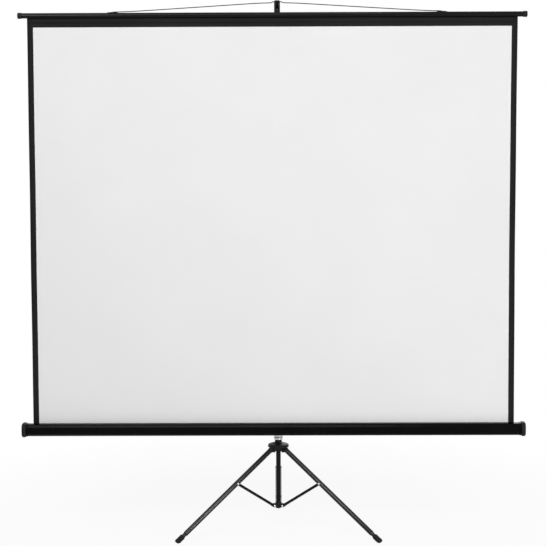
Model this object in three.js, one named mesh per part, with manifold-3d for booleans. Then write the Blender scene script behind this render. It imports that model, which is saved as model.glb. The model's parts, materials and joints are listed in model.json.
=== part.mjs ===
// Tripod projection screen: a spring-roller screen in a slim case, carried on a telescopic mast
// with three folding legs. Millimetres, +Z up, the viewer stands on the -Y side.

import * as THREE from 'three';
import { mergeVertices } from 'three/addons/utils/BufferGeometryUtils.js';
import Module from 'manifold-3d';

const wasm = await Module();
wasm.setup();

// Fits
const CLEAR = 0.3;              // gap between pieces that touch, slide or turn on each other
const SLOT_CLEAR = 2.75;        // gap on each side of the cloth where it leaves the case
const EDGE_BITE = 1;            // how far a joined feature runs into the piece that carries it
const THROUGH = 10;             // how far a cutter runs past the faces that it cuts

// Screen cloth
const CLOTH_WIDTH = 2400;
const CLOTH_DROP = 2000;        // from the top of the case to the underside of the top bar
const CLOTH_THICKNESS = 0.5;

// Roller inside the case
const ROLLER_RADIUS = 17;
const ROLLER_WALL = 1;
const ROLLER_OVERHANG = 5;      // roller tube past each edge of the cloth
const ROLL_THICKNESS = 1.2;     // turns of cloth that stay on the roller
const PLUG_DEPTH = 30;          // plugs in the ends of the roller
const AXLE_RADIUS = 4;
const ARBOR_REACH = 400;        // spring arbor, inwards from the right-hand cap
const SPRING_WIRE = 1;          // radius of the spring's wire
const SPRING_RADIUS = 9;
const SPRING_TURNS = 12;
const SPRING_LENGTH = 280;
const SPRING_STEPS = 8;         // facets of one turn

// Case
const CASE_OVERHANG = 51;       // case past each edge of the cloth, over the end caps
const CASE_DEPTH = 60;
const CASE_HEIGHT = 60;
const CASE_CORNER = 18;
const CASE_WALL = 1.2;
const CAP_LENGTH = 29;
const CAP_RIM = 21;             // proud part of a cap, next to its end
const CAP_WALL = 5;             // thickness of the proud part, all round the case
const CAP_MOUTH_WALL = 1.4;     // thickness of the thin sleeve ahead of it
const CAP_END = 6;              // thickness of a cap's end wall
const CAP_ROUND = 4;            // rounding of a cap's edges
const CAP_BOSS_RADIUS = 9;
const CAP_BOSS_REACH = 14;

// Top bar
const BAR_OVERHANG = 46;        // bar past each edge of the cloth, over the end caps
const BAR_RADIUS = 13;
const BAR_WALL = 1.5;
const BAR_SLOT = 3;
const BAR_CAP_LENGTH = 20;
const BAR_CAP_WALL = 1.4;
const BAR_CAP_END = 3;
const HEM_ROD_RADIUS = 4;

// Wire bail on the top bar
const BAIL_RADIUS = 1.8;
const BAIL_SPAN = 1560;         // between the inner faces of the two clips
const BAIL_END = 38;            // straight end inside a clip
const BAIL_RISE = 61;           // from the hinge line to the seat on the hook
const BAIL_SHOULDER = 54;       // rise where the seat's small bend begins
const BAIL_SEAT = 25;           // half width of the seat
const BAIL_BEND = 10;           // from the seat to the shoulder
const BAIL_BROW = 100;          // end of the almost flat run beside the seat, from the middle
const BAIL_BROW_RISE = 53;
const BAIL_FOOT_RUN = 76;       // almost flat run next to a clip
const BAIL_FOOT_RISE = 3.5;
const BAIL_MID_RUN = 400;       // second point of the sloping run, from a clip
const BAIL_MID_RISE = 29;
const BAIL_STEPS = 132;
const CLIP_LENGTH = 50;
const CLIP_DEPTH = 13;
const CLIP_TOP = 4;             // clip above the wire's line
const CLIP_SEAT = 4;            // wire's line above the top of the bar

// Mast: post, extension rod and their fittings
const MAST_OFFSET = 24;         // mast to the right of the middle of the screen
const POST_RADIUS = 14;
const POST_WALL = 1.5;
const POST_LENGTH = 1385;
const ROD_RADIUS = 11;
const ROD_WALL = 1.2;
const ROD_OVERLAP = 200;        // rod that stays inside the post at full height
const BUSH_LENGTH = 56;
const ROD_FOOT_LENGTH = 12;
const ROD_FOOT_PLUG = 18;
const CLAMP_RADIUS = 21;
const CLAMP_GRIP = 30;          // clamp below the top of the post
const CLAMP_HEAD = 34;          // clamp above the top of the post
const KNOB_BOSS_RADIUS = 9;
const KNOB_BOSS_REACH = 14;     // boss behind the sleeve that it stands on
const STUD_RADIUS = 4;
const KNOB_RADIUS = 16;
const KNOB_LOBE = 2;
const KNOB_LOBES = 5;
const KNOB_LENGTH = 14;

// Hook at the top of the rod
const HOOK_WALL = 3.6;
const HOOK_SLEEVE = 72;
const HOOK_CAP = 8;
const HOOK_CREST = 12;          // top of the hook above the bail's wire
const HOOK_REACH = 38;          // bail's seat in front of the mast's axis
const HOOK_WIDTH = 18;
const HOOK_LIP = 12;            // arm in front of the seat
const HOOK_RAMP = 6;            // sloping inner face of the lip, front to back
const HOOK_LIP_RISE = 3.4;
const HOOK_SEAT_HALF = 4.2;
const HOOK_GAP = 0.6;           // bail's wire above its seat
const HOOK_ROOT_DEPTH = 26;     // arm's height at the mast
const HOOK_TIP_DEPTH = 8;

// Carrier between the post and the case
const RING_RADIUS = 23.3;
const RING_HEIGHT = 25;
const RING_GROOVE = 1.8;
const RING_BAND = 9;            // height of each of the ring's two bands
const CARRIER_WALL = 5.7;
const CARRIER_BELOW = 43.3;     // sleeve below the swivel's axis
const CARRIER_ABOVE = 48;
const BLOCK_WIDTH = 44;
const BLOCK_HEIGHT = 60;
const BLOCK_FRONT = 44;         // front face, ahead of the mast's axis
const CARRIER_KNOB_UP = 22;     // knob above the swivel's axis
const SWIVEL_RADIUS = 8;
const SWIVEL_DEPTH = 25;        // bolt inside the block
const PLATE_RADIUS = 32;
const PLATE_THICKNESS = 15.4;
const PLATE_BORE = 12;

// Legs
const LEG_ANGLE = THREE.MathUtils.degToRad(37);   // below the horizontal, legs open
const FOLD_STOP = THREE.MathUtils.degToRad(1);    // folded legs stay this far from upright
const LEG_LENGTH = 668;         // from the hub to the end of the boot, along the leg
const LEG_RADIUS = 12.5;
const LEG_WALL = 1.2;
const LEG_NECK_RADIUS = 9.8;    // drawn-in end that carries the boot
const LEG_NECK_LENGTH = 46;
const LEG_NECK_TAPER = 6;
const BOOT_RADIUS = 13.8;
const BOOT_LENGTH = 46;
const BOOT_BORE = 30;
const SOLE_LIFT = 1;            // middle of the boot's end above the floor
const HEAD_WIDTH = 12;
const HEAD_BACK = 8;
const HEAD_FRONT = 12;
const HEAD_PLUG = 34;
const PIVOT_BOSS = 5.2;
const STRUT_POINT = 250;        // strut rivet, along the leg from the hub

// Hub, spreader and struts
const PIVOT_RADIUS = 30;        // leg and strut pivots from the mast's axis
const PIVOT_OFFSET = 15;        // leg's pivot below the leg's axis
const PIN_RADIUS = 3;
const PIN_HEAD = 2;
const PIN_HEAD_RADIUS = 4.2;
const EAR_THICKNESS = 3;
const EAR_RADIUS = 5.5;
const EAR_TOP = 28;             // top of the ears above the pivots
const EAR_ROOT = 24;            // where the ear's sloping edge meets its top
const HUB_WALL = 3;
const HUB_FOOT = 5;             // bottom of the hub's barrel above the pivots
const HUB_ABOVE = 58.6;         // neck above the pivots
const SKIRT_RADIUS = 52.5;
const SKIRT_RIM = 21.5;         // bottom of the skirt's rim above the pivots
const SKIRT_RIM_HEIGHT = 7.5;   // upright part of the rim
const SKIRT_SHOULDER = 7;       // rounding from the rim to the cone
const SKIRT_SLOPE = THREE.MathUtils.degToRad(18);
const SKIRT_THICKNESS = 2;
const SPREADER_RADIUS = 12;
const SPREADER_WALL = 1.2;
const SPREADER_HOLD = 70;       // spreader that stays in the post with the legs folded
const COLLAR_WALL = 4.7;
const COLLAR_HALF = 14;
const LUG_RADIUS = 8;
const SPREADER_PLUG = 15;
const SPREADER_FLANGE = 2.7;
const STRUT_HEIGHT = 12;
const STRUT_THICKNESS = 2.5;
const RIVET_RADIUS = 3;
const RIVET_HEAD = 1.8;
const RIVET_HEAD_RADIUS = 5.5;

// Facets round a full circle
const ROUND = 16;
const FINE_ROUND = 24;
const SMALL_ROUND = 12;
const WIRE_ROUND = 6;
const CORNER_STEPS = 2;         // half the facets of a rounded corner
const SHOULDER_STEPS = 4;

// Leg linkage, in a plane through the mast: the leg from its hub pivot to the strut rivet and the
// strut are equally long, so the spreader runs straight down the mast as the legs fold.
const legSin = Math.sin(LEG_ANGLE);
const legCos = Math.cos(LEG_ANGLE);
const legTop = {
  r: PIVOT_RADIUS + PIVOT_OFFSET * legSin,
  z: LEG_LENGTH * legSin + SOLE_LIFT,
};
const pivotZ = legTop.z - PIVOT_OFFSET * legCos;
const rivet = {
  r: legTop.r + STRUT_POINT * legCos,
  z: legTop.z - STRUT_POINT * legSin,
};
const collarZ = 2 * rivet.z - pivotZ;
const strutLength = Math.hypot(rivet.r - PIVOT_RADIUS, rivet.z - collarZ);
const strutTurn = Math.atan2(rivet.z - collarZ, PIVOT_RADIUS - rivet.r);
const openLean = Math.atan2(rivet.r - PIVOT_RADIUS, pivotZ - rivet.z);
const foldAngle = Math.PI / 2 - LEG_ANGLE - FOLD_STOP;
const spreaderTravel = 2 * strutLength * (Math.cos(openLean - foldAngle) - Math.cos(openLean));

// Case and bar, from the middle of the cloth to the end of a cap
const caseHalf = CLOTH_WIDTH / 2 + CASE_OVERHANG;
const barHalf = CLOTH_WIDTH / 2 + BAR_OVERHANG;

// Heights and depths on the mast
const hubBottom = pivotZ + HUB_FOOT;
const neckTop = pivotZ + HUB_ABOVE;
const ringBottom = neckTop + CLEAR;
const sleeveBottom = ringBottom + RING_HEIGHT + CLEAR;
const swivelZ = sleeveBottom + CARRIER_BELOW;
const plateFront = BLOCK_FRONT + PLATE_THICKNESS + 2 * CLEAR;
const caseY = -(plateFront + CASE_DEPTH / 2);
const rollRadius = ROLLER_RADIUS + CLEAR + ROLL_THICKNESS;
const clothY = caseY + rollRadius + CLEAR + CLOTH_THICKNESS / 2;
const caseTop = swivelZ + CASE_HEIGHT / 2;
const barZ = caseTop + CLOTH_DROP + BAR_RADIUS;
const bailZ = barZ + BAR_RADIUS + CLIP_SEAT;
const bailLean = Math.asin((-clothY - HOOK_REACH) / BAIL_RISE);
const seatZ = bailZ + BAIL_RISE * Math.cos(bailLean) - BAIL_RADIUS - HOOK_GAP;
const hookTop = seatZ + HOOK_GAP + BAIL_RADIUS + HOOK_CREST;
const rodTop = hookTop - HOOK_CAP;
const postTop = hubBottom + POST_LENGTH;
const rodBottom = postTop - ROD_OVERLAP;

// Solids: closed geometries, joined and cut

function signedVolume(geometry) {
  const p = geometry.attributes.position;
  const index = geometry.index;
  const a = new THREE.Vector3();
  const b = new THREE.Vector3();
  const c = new THREE.Vector3();
  let sum = 0;
  for (let i = 0; i < index.count; i += 3) {
    a.fromBufferAttribute(p, index.getX(i));
    b.fromBufferAttribute(p, index.getX(i + 1));
    c.fromBufferAttribute(p, index.getX(i + 2));
    sum += a.dot(b.cross(c)) / 6;
  }
  return sum;
}

// One closed skin with shared corners, its faces pointing out
function closed(geometry) {
  const bare = geometry.clone();
  bare.deleteAttribute('normal');
  bare.deleteAttribute('uv');
  const merged = mergeVertices(bare);
  const whole = [];
  const index = merged.index;
  for (let i = 0; i < index.count; i += 3) {
    const [a, b, c] = [index.getX(i), index.getX(i + 1), index.getX(i + 2)];
    if (a !== b && b !== c && c !== a) whole.push(a, b, c);
  }
  merged.setIndex(whole);
  if (signedVolume(merged) < 0) merged.setIndex(whole.reverse());
  return merged;
}

function toManifold(geometry) {
  const skin = closed(geometry);
  return new wasm.Manifold(new wasm.Mesh({
    numProp: 3,
    vertProperties: Float32Array.from(skin.attributes.position.array),
    triVerts: Uint32Array.from(skin.index.array),
  }));
}

function fromManifold(manifold) {
  const mesh = manifold.getMesh();
  const geometry = new THREE.BufferGeometry();
  geometry.setAttribute('position', new THREE.BufferAttribute(mesh.vertProperties, 3));
  geometry.setIndex(new THREE.BufferAttribute(mesh.triVerts, 1));
  return geometry;
}

function join(first, ...others) {
  return fromManifold(others.reduce((all, g) => all.add(toManifold(g)), toManifold(first)));
}

function cut(first, ...others) {
  return fromManifold(others.reduce((all, g) => all.subtract(toManifold(g)), toManifold(first)));
}

// Basic forms

const X_AXIS = new THREE.Vector3(1, 0, 0);
const Y_AXIS = new THREE.Vector3(0, 1, 0);
const Z_AXIS = new THREE.Vector3(0, 0, 1);
const TURN = {
  x: new THREE.Matrix4().makeBasis(Y_AXIS, Z_AXIS, X_AXIS),
  y: new THREE.Matrix4().makeBasis(X_AXIS, Z_AXIS, Y_AXIS.clone().negate()),
  z: new THREE.Matrix4(),
};

// An outline pushed along an axis, with its middle at the origin. Along x the outline's axes are y
// and z, along y they are x and z.
function prism(shape, length, axis, steps = CORNER_STEPS) {
  const geometry = new THREE.ExtrudeGeometry(shape, {
    depth: length,
    bevelEnabled: false,
    curveSegments: steps,
  });
  return geometry.translate(0, 0, -length / 2).applyMatrix4(TURN[axis]);
}

function disc(radius) {
  const shape = new THREE.Shape();
  shape.absarc(0, 0, radius, 0, 2 * Math.PI);
  return shape;
}

function bar(radius, length, axis, facets = ROUND) {
  return prism(disc(radius), length, axis, facets / 2);
}

function pipe(outer, inner, length, axis, facets = ROUND) {
  const shape = disc(outer);
  shape.holes.push(disc(inner));
  return prism(shape, length, axis, facets / 2);
}

function block(x, y, z) {
  return new THREE.BoxGeometry(x, y, z);
}

function roundedBox(depth, height, corner) {
  const [y, z] = [depth / 2 - corner, height / 2 - corner];
  const shape = new THREE.Shape();
  shape.absarc(y, z, corner, 0, Math.PI / 2);
  shape.absarc(-y, z, corner, Math.PI / 2, Math.PI);
  shape.absarc(-y, -z, corner, Math.PI, 1.5 * Math.PI);
  shape.absarc(y, -z, corner, 1.5 * Math.PI, 2 * Math.PI);
  shape.closePath();
  return shape;
}

// A profile of [radius, height] pairs turned about the z axis, closing on itself
function turned(profile, facets = ROUND) {
  const points = [...profile, profile[0]].map(([r, z]) => new THREE.Vector2(r, z));
  return new THREE.LatheGeometry(points, facets).rotateX(Math.PI / 2);
}

// A pin along y with a head on each end, over the given width
function headedPin(radius, width, headRadius, head, facets = SMALL_ROUND) {
  const place = width / 2 + CLEAR + head / 2;
  return join(
    bar(radius, width + 2 * CLEAR + 2 * EDGE_BITE, 'y', facets),
    bar(headRadius, head, 'y', facets).translate(0, place, 0),
    bar(headRadius, head, 'y', facets).translate(0, -place, 0),
  );
}

// Finishes

function paint(color, roughness, metalness) {
  return new THREE.MeshStandardMaterial({ color, roughness, metalness });
}

const BLACK_PAINT = paint(0x161617, 0.42, 0.3);
const BLACK_PLASTIC = paint(0x131314, 0.5, 0);
const RUBBER = paint(0x1b1b1b, 0.85, 0);
const ZINC = paint(0xb9bbbd, 0.38, 1);
const NICKEL = paint(0xc9cac9, 0.3, 1);
const WIRE_STEEL = paint(0x3a3b3d, 0.35, 1);
const NYLON = paint(0xd8d6cf, 0.55, 0);
const CLOTH = paint(0xf2f2f1, 0.9, 0);

function piece(parent, name, geometry, material) {
  const skin = closed(geometry);
  skin.computeVertexNormals();
  const mesh = new THREE.Mesh(skin, material);
  mesh.name = name;
  parent.add(mesh);
  return mesh;
}

// Legs: head, tube, boot and strut rivet, in a frame with x along the leg

function legHead() {
  const shape = new THREE.Shape();
  shape.moveTo(-HEAD_BACK, LEG_RADIUS);
  shape.lineTo(-PIVOT_BOSS, -PIVOT_OFFSET);
  shape.absarc(0, -PIVOT_OFFSET, PIVOT_BOSS, Math.PI, 2 * Math.PI);
  shape.lineTo(HEAD_FRONT, -LEG_RADIUS);
  shape.lineTo(HEAD_FRONT, LEG_RADIUS);
  shape.closePath();
  const plugLength = HEAD_PLUG + EDGE_BITE;
  const plug = bar(LEG_RADIUS - LEG_WALL - CLEAR, plugLength, 'x');
  const hole = bar(PIN_RADIUS + CLEAR, HEAD_WIDTH + THROUGH, 'y', SMALL_ROUND);
  return cut(
    join(
      prism(shape, HEAD_WIDTH, 'y', 4),
      plug.translate(HEAD_FRONT - EDGE_BITE + plugLength / 2, 0, 0),
    ),
    hole.translate(0, 0, -PIVOT_OFFSET),
  );
}

// Round tube whose lower end is drawn in to a neck
function legTube() {
  const start = HEAD_FRONT + CLEAR;
  const neck = LEG_LENGTH - BOOT_LENGTH + BOOT_BORE - CLEAR - LEG_NECK_LENGTH;
  const end = neck + LEG_NECK_LENGTH;
  const tube = turned([
    [LEG_RADIUS - LEG_WALL, start],
    [LEG_RADIUS, start],
    [LEG_RADIUS, neck],
    [LEG_NECK_RADIUS, neck + LEG_NECK_TAPER],
    [LEG_NECK_RADIUS, end],
    [LEG_NECK_RADIUS - LEG_WALL, end],
    [LEG_NECK_RADIUS - LEG_WALL, neck + LEG_NECK_TAPER],
    [LEG_RADIUS - LEG_WALL, neck],
  ]).applyMatrix4(TURN.x);
  const hole = bar(RIVET_RADIUS + CLEAR, 2 * LEG_RADIUS + THROUGH, 'y', SMALL_ROUND);
  return cut(tube, hole.translate(STRUT_POINT, 0, 0));
}

// Rubber boot, cut flat where it stands on the floor
function legBoot() {
  const body = bar(BOOT_RADIUS, BOOT_LENGTH, 'x').translate(LEG_LENGTH - BOOT_LENGTH / 2, 0, 0);
  const bore = bar(LEG_NECK_RADIUS + CLEAR, BOOT_BORE + THROUGH, 'x');
  const boreEnd = LEG_LENGTH - BOOT_LENGTH + BOOT_BORE;
  const underFloor = block(2 * LEG_LENGTH, 4 * BOOT_RADIUS, 4 * BOOT_RADIUS);
  const toFloor = new THREE.Matrix4().makeRotationY(-LEG_ANGLE);
  underFloor.translate(0, 0, -legTop.z - 2 * BOOT_RADIUS).applyMatrix4(toFloor);
  return cut(body, bore.translate(boreEnd - (BOOT_BORE + THROUGH) / 2, 0, 0), underFloor);
}

function strutBar() {
  const shape = new THREE.Shape();
  shape.absarc(0, 0, STRUT_HEIGHT / 2, Math.PI / 2, 1.5 * Math.PI);
  shape.absarc(strutLength, 0, STRUT_HEIGHT / 2, -Math.PI / 2, Math.PI / 2);
  shape.closePath();
  for (const x of [0, strutLength]) {
    const hole = new THREE.Path();
    hole.absarc(x, 0, RIVET_RADIUS + CLEAR, 0, 2 * Math.PI);
    shape.holes.push(hole);
  }
  return prism(shape, STRUT_THICKNESS, 'y', SMALL_ROUND / 2);
}

const strutInside = LEG_RADIUS + CLEAR;
const strutOutside = 2 * (strutInside + STRUT_THICKNESS);

function addLeg(parent, side, azimuth) {
  const plane = new THREE.Group();
  plane.rotation.z = azimuth;
  parent.add(plane);

  const leg = new THREE.Group();
  leg.position.set(legTop.r, 0, legTop.z);
  leg.rotation.y = LEG_ANGLE;
  plane.add(leg);
  piece(leg, `leg_${side}_head`, legHead(), BLACK_PLASTIC);
  piece(leg, `leg_${side}_tube`, legTube(), BLACK_PAINT);
  piece(leg, `leg_${side}_boot`, legBoot(), RUBBER);
  const rivetPin = headedPin(RIVET_RADIUS, strutOutside, RIVET_HEAD_RADIUS, RIVET_HEAD);
  piece(leg, `leg_${side}_rivet`, rivetPin, ZINC).position.set(STRUT_POINT, 0, 0);

  const strut = new THREE.Group();
  strut.position.set(rivet.r, 0, rivet.z);
  strut.rotation.y = strutTurn;
  plane.add(strut);
  const strutMiddle = strutInside + STRUT_THICKNESS / 2;
  piece(strut, `strut_${side}_near`, strutBar(), BLACK_PAINT).position.y = -strutMiddle;
  piece(strut, `strut_${side}_far`, strutBar(), BLACK_PAINT).position.y = strutMiddle;

  const earOutside = 2 * (HEAD_WIDTH / 2 + CLEAR + EAR_THICKNESS);
  const hubPin = headedPin(PIN_RADIUS, earOutside, PIN_HEAD_RADIUS, PIN_HEAD);
  piece(plane, `hub_pin_${side}`, hubPin, BLACK_PAINT).position.set(PIVOT_RADIUS, 0, pivotZ);
  const collarPin = headedPin(RIVET_RADIUS, strutOutside, RIVET_HEAD_RADIUS, RIVET_HEAD);
  piece(plane, `collar_pin_${side}`, collarPin, ZINC).position.set(PIVOT_RADIUS, 0, collarZ);
}

// Hub on the post and spreader below it, each with a fork or lug for every leg

const LEGS = {
  left: THREE.MathUtils.degToRad(210),
  right: THREE.MathUtils.degToRad(330),
  rear: THREE.MathUtils.degToRad(90),
};

function roundTheMast(geometry) {
  return Object.values(LEGS).map((azimuth) => geometry.clone().rotateZ(azimuth));
}

function hubEar() {
  const shape = new THREE.Shape();
  const root = Math.sqrt((POST_RADIUS + CLEAR + HUB_WALL / 2) ** 2 - (HEAD_WIDTH / 2) ** 2);
  shape.moveTo(root, HUB_FOOT);
  shape.absarc(PIVOT_RADIUS, 0, EAR_RADIUS, -0.75 * Math.PI, Math.PI / 2);
  shape.lineTo(EAR_ROOT, EAR_TOP);
  shape.lineTo(root, EAR_TOP);
  shape.closePath();
  const hole = new THREE.Path();
  hole.absarc(PIVOT_RADIUS, 0, PIN_RADIUS + CLEAR, 0, 2 * Math.PI);
  shape.holes.push(hole);
  return prism(shape, EAR_THICKNESS, 'y', SMALL_ROUND / 2);
}

function legHub() {
  const height = HUB_ABOVE - HUB_FOOT;
  const middle = (HUB_ABOVE + HUB_FOOT) / 2;
  const bore = POST_RADIUS + CLEAR;
  const barrel = pipe(bore + HUB_WALL, bore, height, 'z', FINE_ROUND);
  const earPlace = HEAD_WIDTH / 2 + CLEAR + EAR_THICKNESS / 2;
  const ears = [-earPlace, earPlace].flatMap((y) => roundTheMast(hubEar().translate(0, y, 0)));
  const hub = join(barrel.translate(0, 0, middle), ...ears);
  return cut(hub, bar(bore, height + THROUGH, 'z', FINE_ROUND).translate(0, 0, middle));
}

// Cover over the leg pivots: an upright rim, a rounded shoulder and a shallow cone up to the neck
function hubSkirt() {
  const neck = POST_RADIUS + CLEAR + HUB_WALL + CLEAR;
  const turn = { r: SKIRT_RADIUS - SKIRT_SHOULDER, z: SKIRT_RIM + SKIRT_RIM_HEIGHT };
  const skin = (depth) => {
    const round = SKIRT_SHOULDER - depth;
    const line = [[turn.r + round, SKIRT_RIM]];
    for (let i = 0; i <= SHOULDER_STEPS; i += 1) {
      const angle = (Math.PI / 2 - SKIRT_SLOPE) * i / SHOULDER_STEPS;
      line.push([turn.r + round * Math.cos(angle), turn.z + round * Math.sin(angle)]);
    }
    const [r, z] = line.at(-1);
    line.push([neck, z + (r - neck) * Math.tan(SKIRT_SLOPE)]);
    return line;
  };
  return turned([...skin(0), ...skin(SKIRT_THICKNESS).reverse()], FINE_ROUND);
}

function spreaderCollar() {
  const bore = SPREADER_RADIUS + CLEAR;
  const shape = new THREE.Shape();
  shape.moveTo(bore, -LUG_RADIUS);
  shape.lineTo(PIVOT_RADIUS, -LUG_RADIUS);
  shape.absarc(PIVOT_RADIUS, 0, LUG_RADIUS, -Math.PI / 2, Math.PI / 2);
  shape.lineTo(bore, LUG_RADIUS);
  shape.closePath();
  const hole = new THREE.Path();
  hole.absarc(PIVOT_RADIUS, 0, RIVET_RADIUS + CLEAR, 0, 2 * Math.PI);
  shape.holes.push(hole);
  const lugs = roundTheMast(prism(shape, 2 * LEG_RADIUS, 'y', SMALL_ROUND / 2));
  const barrel = pipe(bore + COLLAR_WALL, bore, 2 * COLLAR_HALF, 'z');
  return cut(join(barrel, ...lugs), bar(bore, 2 * COLLAR_HALF + THROUGH, 'z'));
}

function spreaderPlug() {
  const plug = bar(SPREADER_RADIUS - SPREADER_WALL - CLEAR, SPREADER_PLUG + EDGE_BITE, 'z');
  const flange = bar(SPREADER_RADIUS, SPREADER_FLANGE, 'z');
  return join(
    plug.translate(0, 0, (SPREADER_PLUG - EDGE_BITE) / 2),
    flange.translate(0, 0, -CLEAR - SPREADER_FLANGE / 2),
  );
}

function addTripod(mast) {
  piece(mast, 'leg_hub', legHub(), BLACK_PLASTIC).position.z = pivotZ;
  piece(mast, 'hub_skirt', hubSkirt(), BLACK_PLASTIC).position.z = pivotZ;
  for (const [side, azimuth] of Object.entries(LEGS)) addLeg(mast, side, azimuth);

  const bottom = collarZ - COLLAR_HALF;
  const length = hubBottom + spreaderTravel + SPREADER_HOLD - bottom;
  const tube = pipe(SPREADER_RADIUS, SPREADER_RADIUS - SPREADER_WALL, length, 'z');
  piece(mast, 'spreader_tube', tube, BLACK_PAINT).position.z = bottom + length / 2;
  piece(mast, 'spreader_collar', spreaderCollar(), BLACK_PLASTIC).position.z = collarZ;
  piece(mast, 'spreader_plug', spreaderPlug(), BLACK_PLASTIC).position.z = bottom;
}

// Post, extension rod and clamp

// Lobed hand knob with its stud, along +y, the stud's tip at the origin
function clampKnob(studLength) {
  const shape = new THREE.Shape();
  const steps = KNOB_LOBES * 6;
  for (let i = 0; i < steps; i += 1) {
    const angle = 2 * Math.PI * i / steps;
    const radius = KNOB_RADIUS + KNOB_LOBE * Math.cos(KNOB_LOBES * angle);
    const [x, z] = [radius * Math.cos(angle), radius * Math.sin(angle)];
    if (i === 0) shape.moveTo(x, z);
    else shape.lineTo(x, z);
  }
  shape.closePath();
  const head = prism(shape, KNOB_LENGTH, 'y').translate(0, studLength + KNOB_LENGTH / 2, 0);
  const stud = bar(STUD_RADIUS, studLength + EDGE_BITE, 'y', SMALL_ROUND);
  return join(head, stud.translate(0, (studLength + EDGE_BITE) / 2, 0));
}

// Boss for a knob's stud behind a sleeve, and the stud's bore
function knobBoss(sleeveRadius) {
  const length = sleeveRadius + KNOB_BOSS_REACH;
  return bar(KNOB_BOSS_RADIUS, length, 'y', SMALL_ROUND).translate(0, length / 2, 0);
}

function knobBore(sleeveRadius) {
  const length = sleeveRadius + KNOB_BOSS_REACH + THROUGH;
  return bar(STUD_RADIUS + CLEAR, length, 'y', SMALL_ROUND).translate(0, length / 2, 0);
}

function rodClamp() {
  const height = CLAMP_GRIP + CLAMP_HEAD;
  const middle = (CLAMP_HEAD - CLAMP_GRIP) / 2;
  const body = join(
    bar(CLAMP_RADIUS, height, 'z', FINE_ROUND).translate(0, 0, middle),
    knobBoss(CLAMP_RADIUS).translate(0, 0, CLAMP_HEAD / 2),
  );
  const postSeat = bar(POST_RADIUS + CLEAR, CLAMP_GRIP + THROUGH, 'z', FINE_ROUND);
  return cut(
    body,
    postSeat.translate(0, 0, CLEAR - (CLAMP_GRIP + THROUGH) / 2),
    bar(ROD_RADIUS + CLEAR, height + THROUGH, 'z').translate(0, 0, middle),
    knobBore(CLAMP_RADIUS).translate(0, 0, CLAMP_HEAD / 2),
  );
}

function rodFoot() {
  const flange = bar(POST_RADIUS - POST_WALL - CLEAR, ROD_FOOT_LENGTH, 'z');
  const plug = bar(ROD_RADIUS - ROD_WALL - CLEAR, ROD_FOOT_PLUG + EDGE_BITE, 'z');
  return join(
    flange.translate(0, 0, -CLEAR - ROD_FOOT_LENGTH / 2),
    plug.translate(0, 0, (ROD_FOOT_PLUG - EDGE_BITE) / 2),
  );
}

function hookHead() {
  const outer = ROD_RADIUS + CLEAR + HOOK_WALL;
  const sleeve = bar(outer, HOOK_SLEEVE + HOOK_CAP, 'z', FINE_ROUND);
  const bore = bar(ROD_RADIUS + CLEAR, HOOK_SLEEVE + THROUGH, 'z');
  return cut(
    sleeve.translate(0, 0, (HOOK_CAP - HOOK_SLEEVE) / 2),
    bore.translate(0, 0, CLEAR - (HOOK_SLEEVE + THROUGH) / 2),
  );
}

// Arm in front of the hook's sleeve. Its outline starts at the foot of the arm, runs out under the
// arm to the lip, down the ramp to the bail's seat and back to the sleeve.
function hookArm() {
  const root = -(ROD_RADIUS + HOOK_WALL + 2 * CLEAR);
  const tip = -(HOOK_REACH + HOOK_LIP);
  const rampFoot = -(HOOK_REACH + HOOK_SEAT_HALF);
  const shape = new THREE.Shape();
  shape.moveTo(root, -HOOK_ROOT_DEPTH);
  shape.lineTo(tip, -HOOK_TIP_DEPTH);
  shape.lineTo(tip, HOOK_LIP_RISE);
  shape.lineTo(rampFoot - HOOK_RAMP, HOOK_LIP_RISE);
  shape.lineTo(rampFoot, 0);
  shape.lineTo(root, 0);
  shape.closePath();
  return prism(shape, HOOK_WIDTH, 'x');
}

function addMast(mast) {
  const post = pipe(POST_RADIUS, POST_RADIUS - POST_WALL, POST_LENGTH, 'z', FINE_ROUND);
  piece(mast, 'post_tube', post, BLACK_PAINT).position.z = hubBottom + POST_LENGTH / 2;
  piece(mast, 'rod_clamp', rodClamp(), BLACK_PLASTIC).position.z = postTop;
  const bush = pipe(POST_RADIUS - POST_WALL - CLEAR, ROD_RADIUS + CLEAR, BUSH_LENGTH, 'z');
  piece(mast, 'rod_guide_bush', bush, NYLON).position.z = postTop - BUSH_LENGTH / 2;

  const stud = CLAMP_RADIUS + KNOB_BOSS_REACH + CLEAR - ROD_RADIUS - CLEAR;
  const knob = piece(mast, 'rod_knob', clampKnob(stud), BLACK_PLASTIC);
  knob.position.set(0, ROD_RADIUS + CLEAR, postTop + CLAMP_HEAD / 2);

  const rodLength = rodTop - rodBottom;
  const rod = pipe(ROD_RADIUS, ROD_RADIUS - ROD_WALL, rodLength, 'z');
  piece(mast, 'extension_rod', rod, BLACK_PAINT).position.z = rodBottom + rodLength / 2;
  piece(mast, 'rod_foot_bush', rodFoot(), NYLON).position.z = rodBottom;
  piece(mast, 'hook_head', hookHead(), BLACK_PLASTIC).position.z = rodTop;
  piece(mast, 'hook_arm', hookArm(), BLACK_PAINT).position.z = seatZ;
}

// Carrier that slides on the post and holds the case on a swivel

function carrierRing() {
  const bore = POST_RADIUS + CLEAR;
  const waist = RING_RADIUS - RING_GROOVE;
  return turned([
    [bore, 0],
    [RING_RADIUS, 0],
    [RING_RADIUS, RING_BAND],
    [waist, RING_BAND],
    [waist, RING_HEIGHT - RING_BAND],
    [RING_RADIUS, RING_HEIGHT - RING_BAND],
    [RING_RADIUS, RING_HEIGHT],
    [bore, RING_HEIGHT],
  ], FINE_ROUND);
}

const carrierRadius = POST_RADIUS + CLEAR + CARRIER_WALL;

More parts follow.
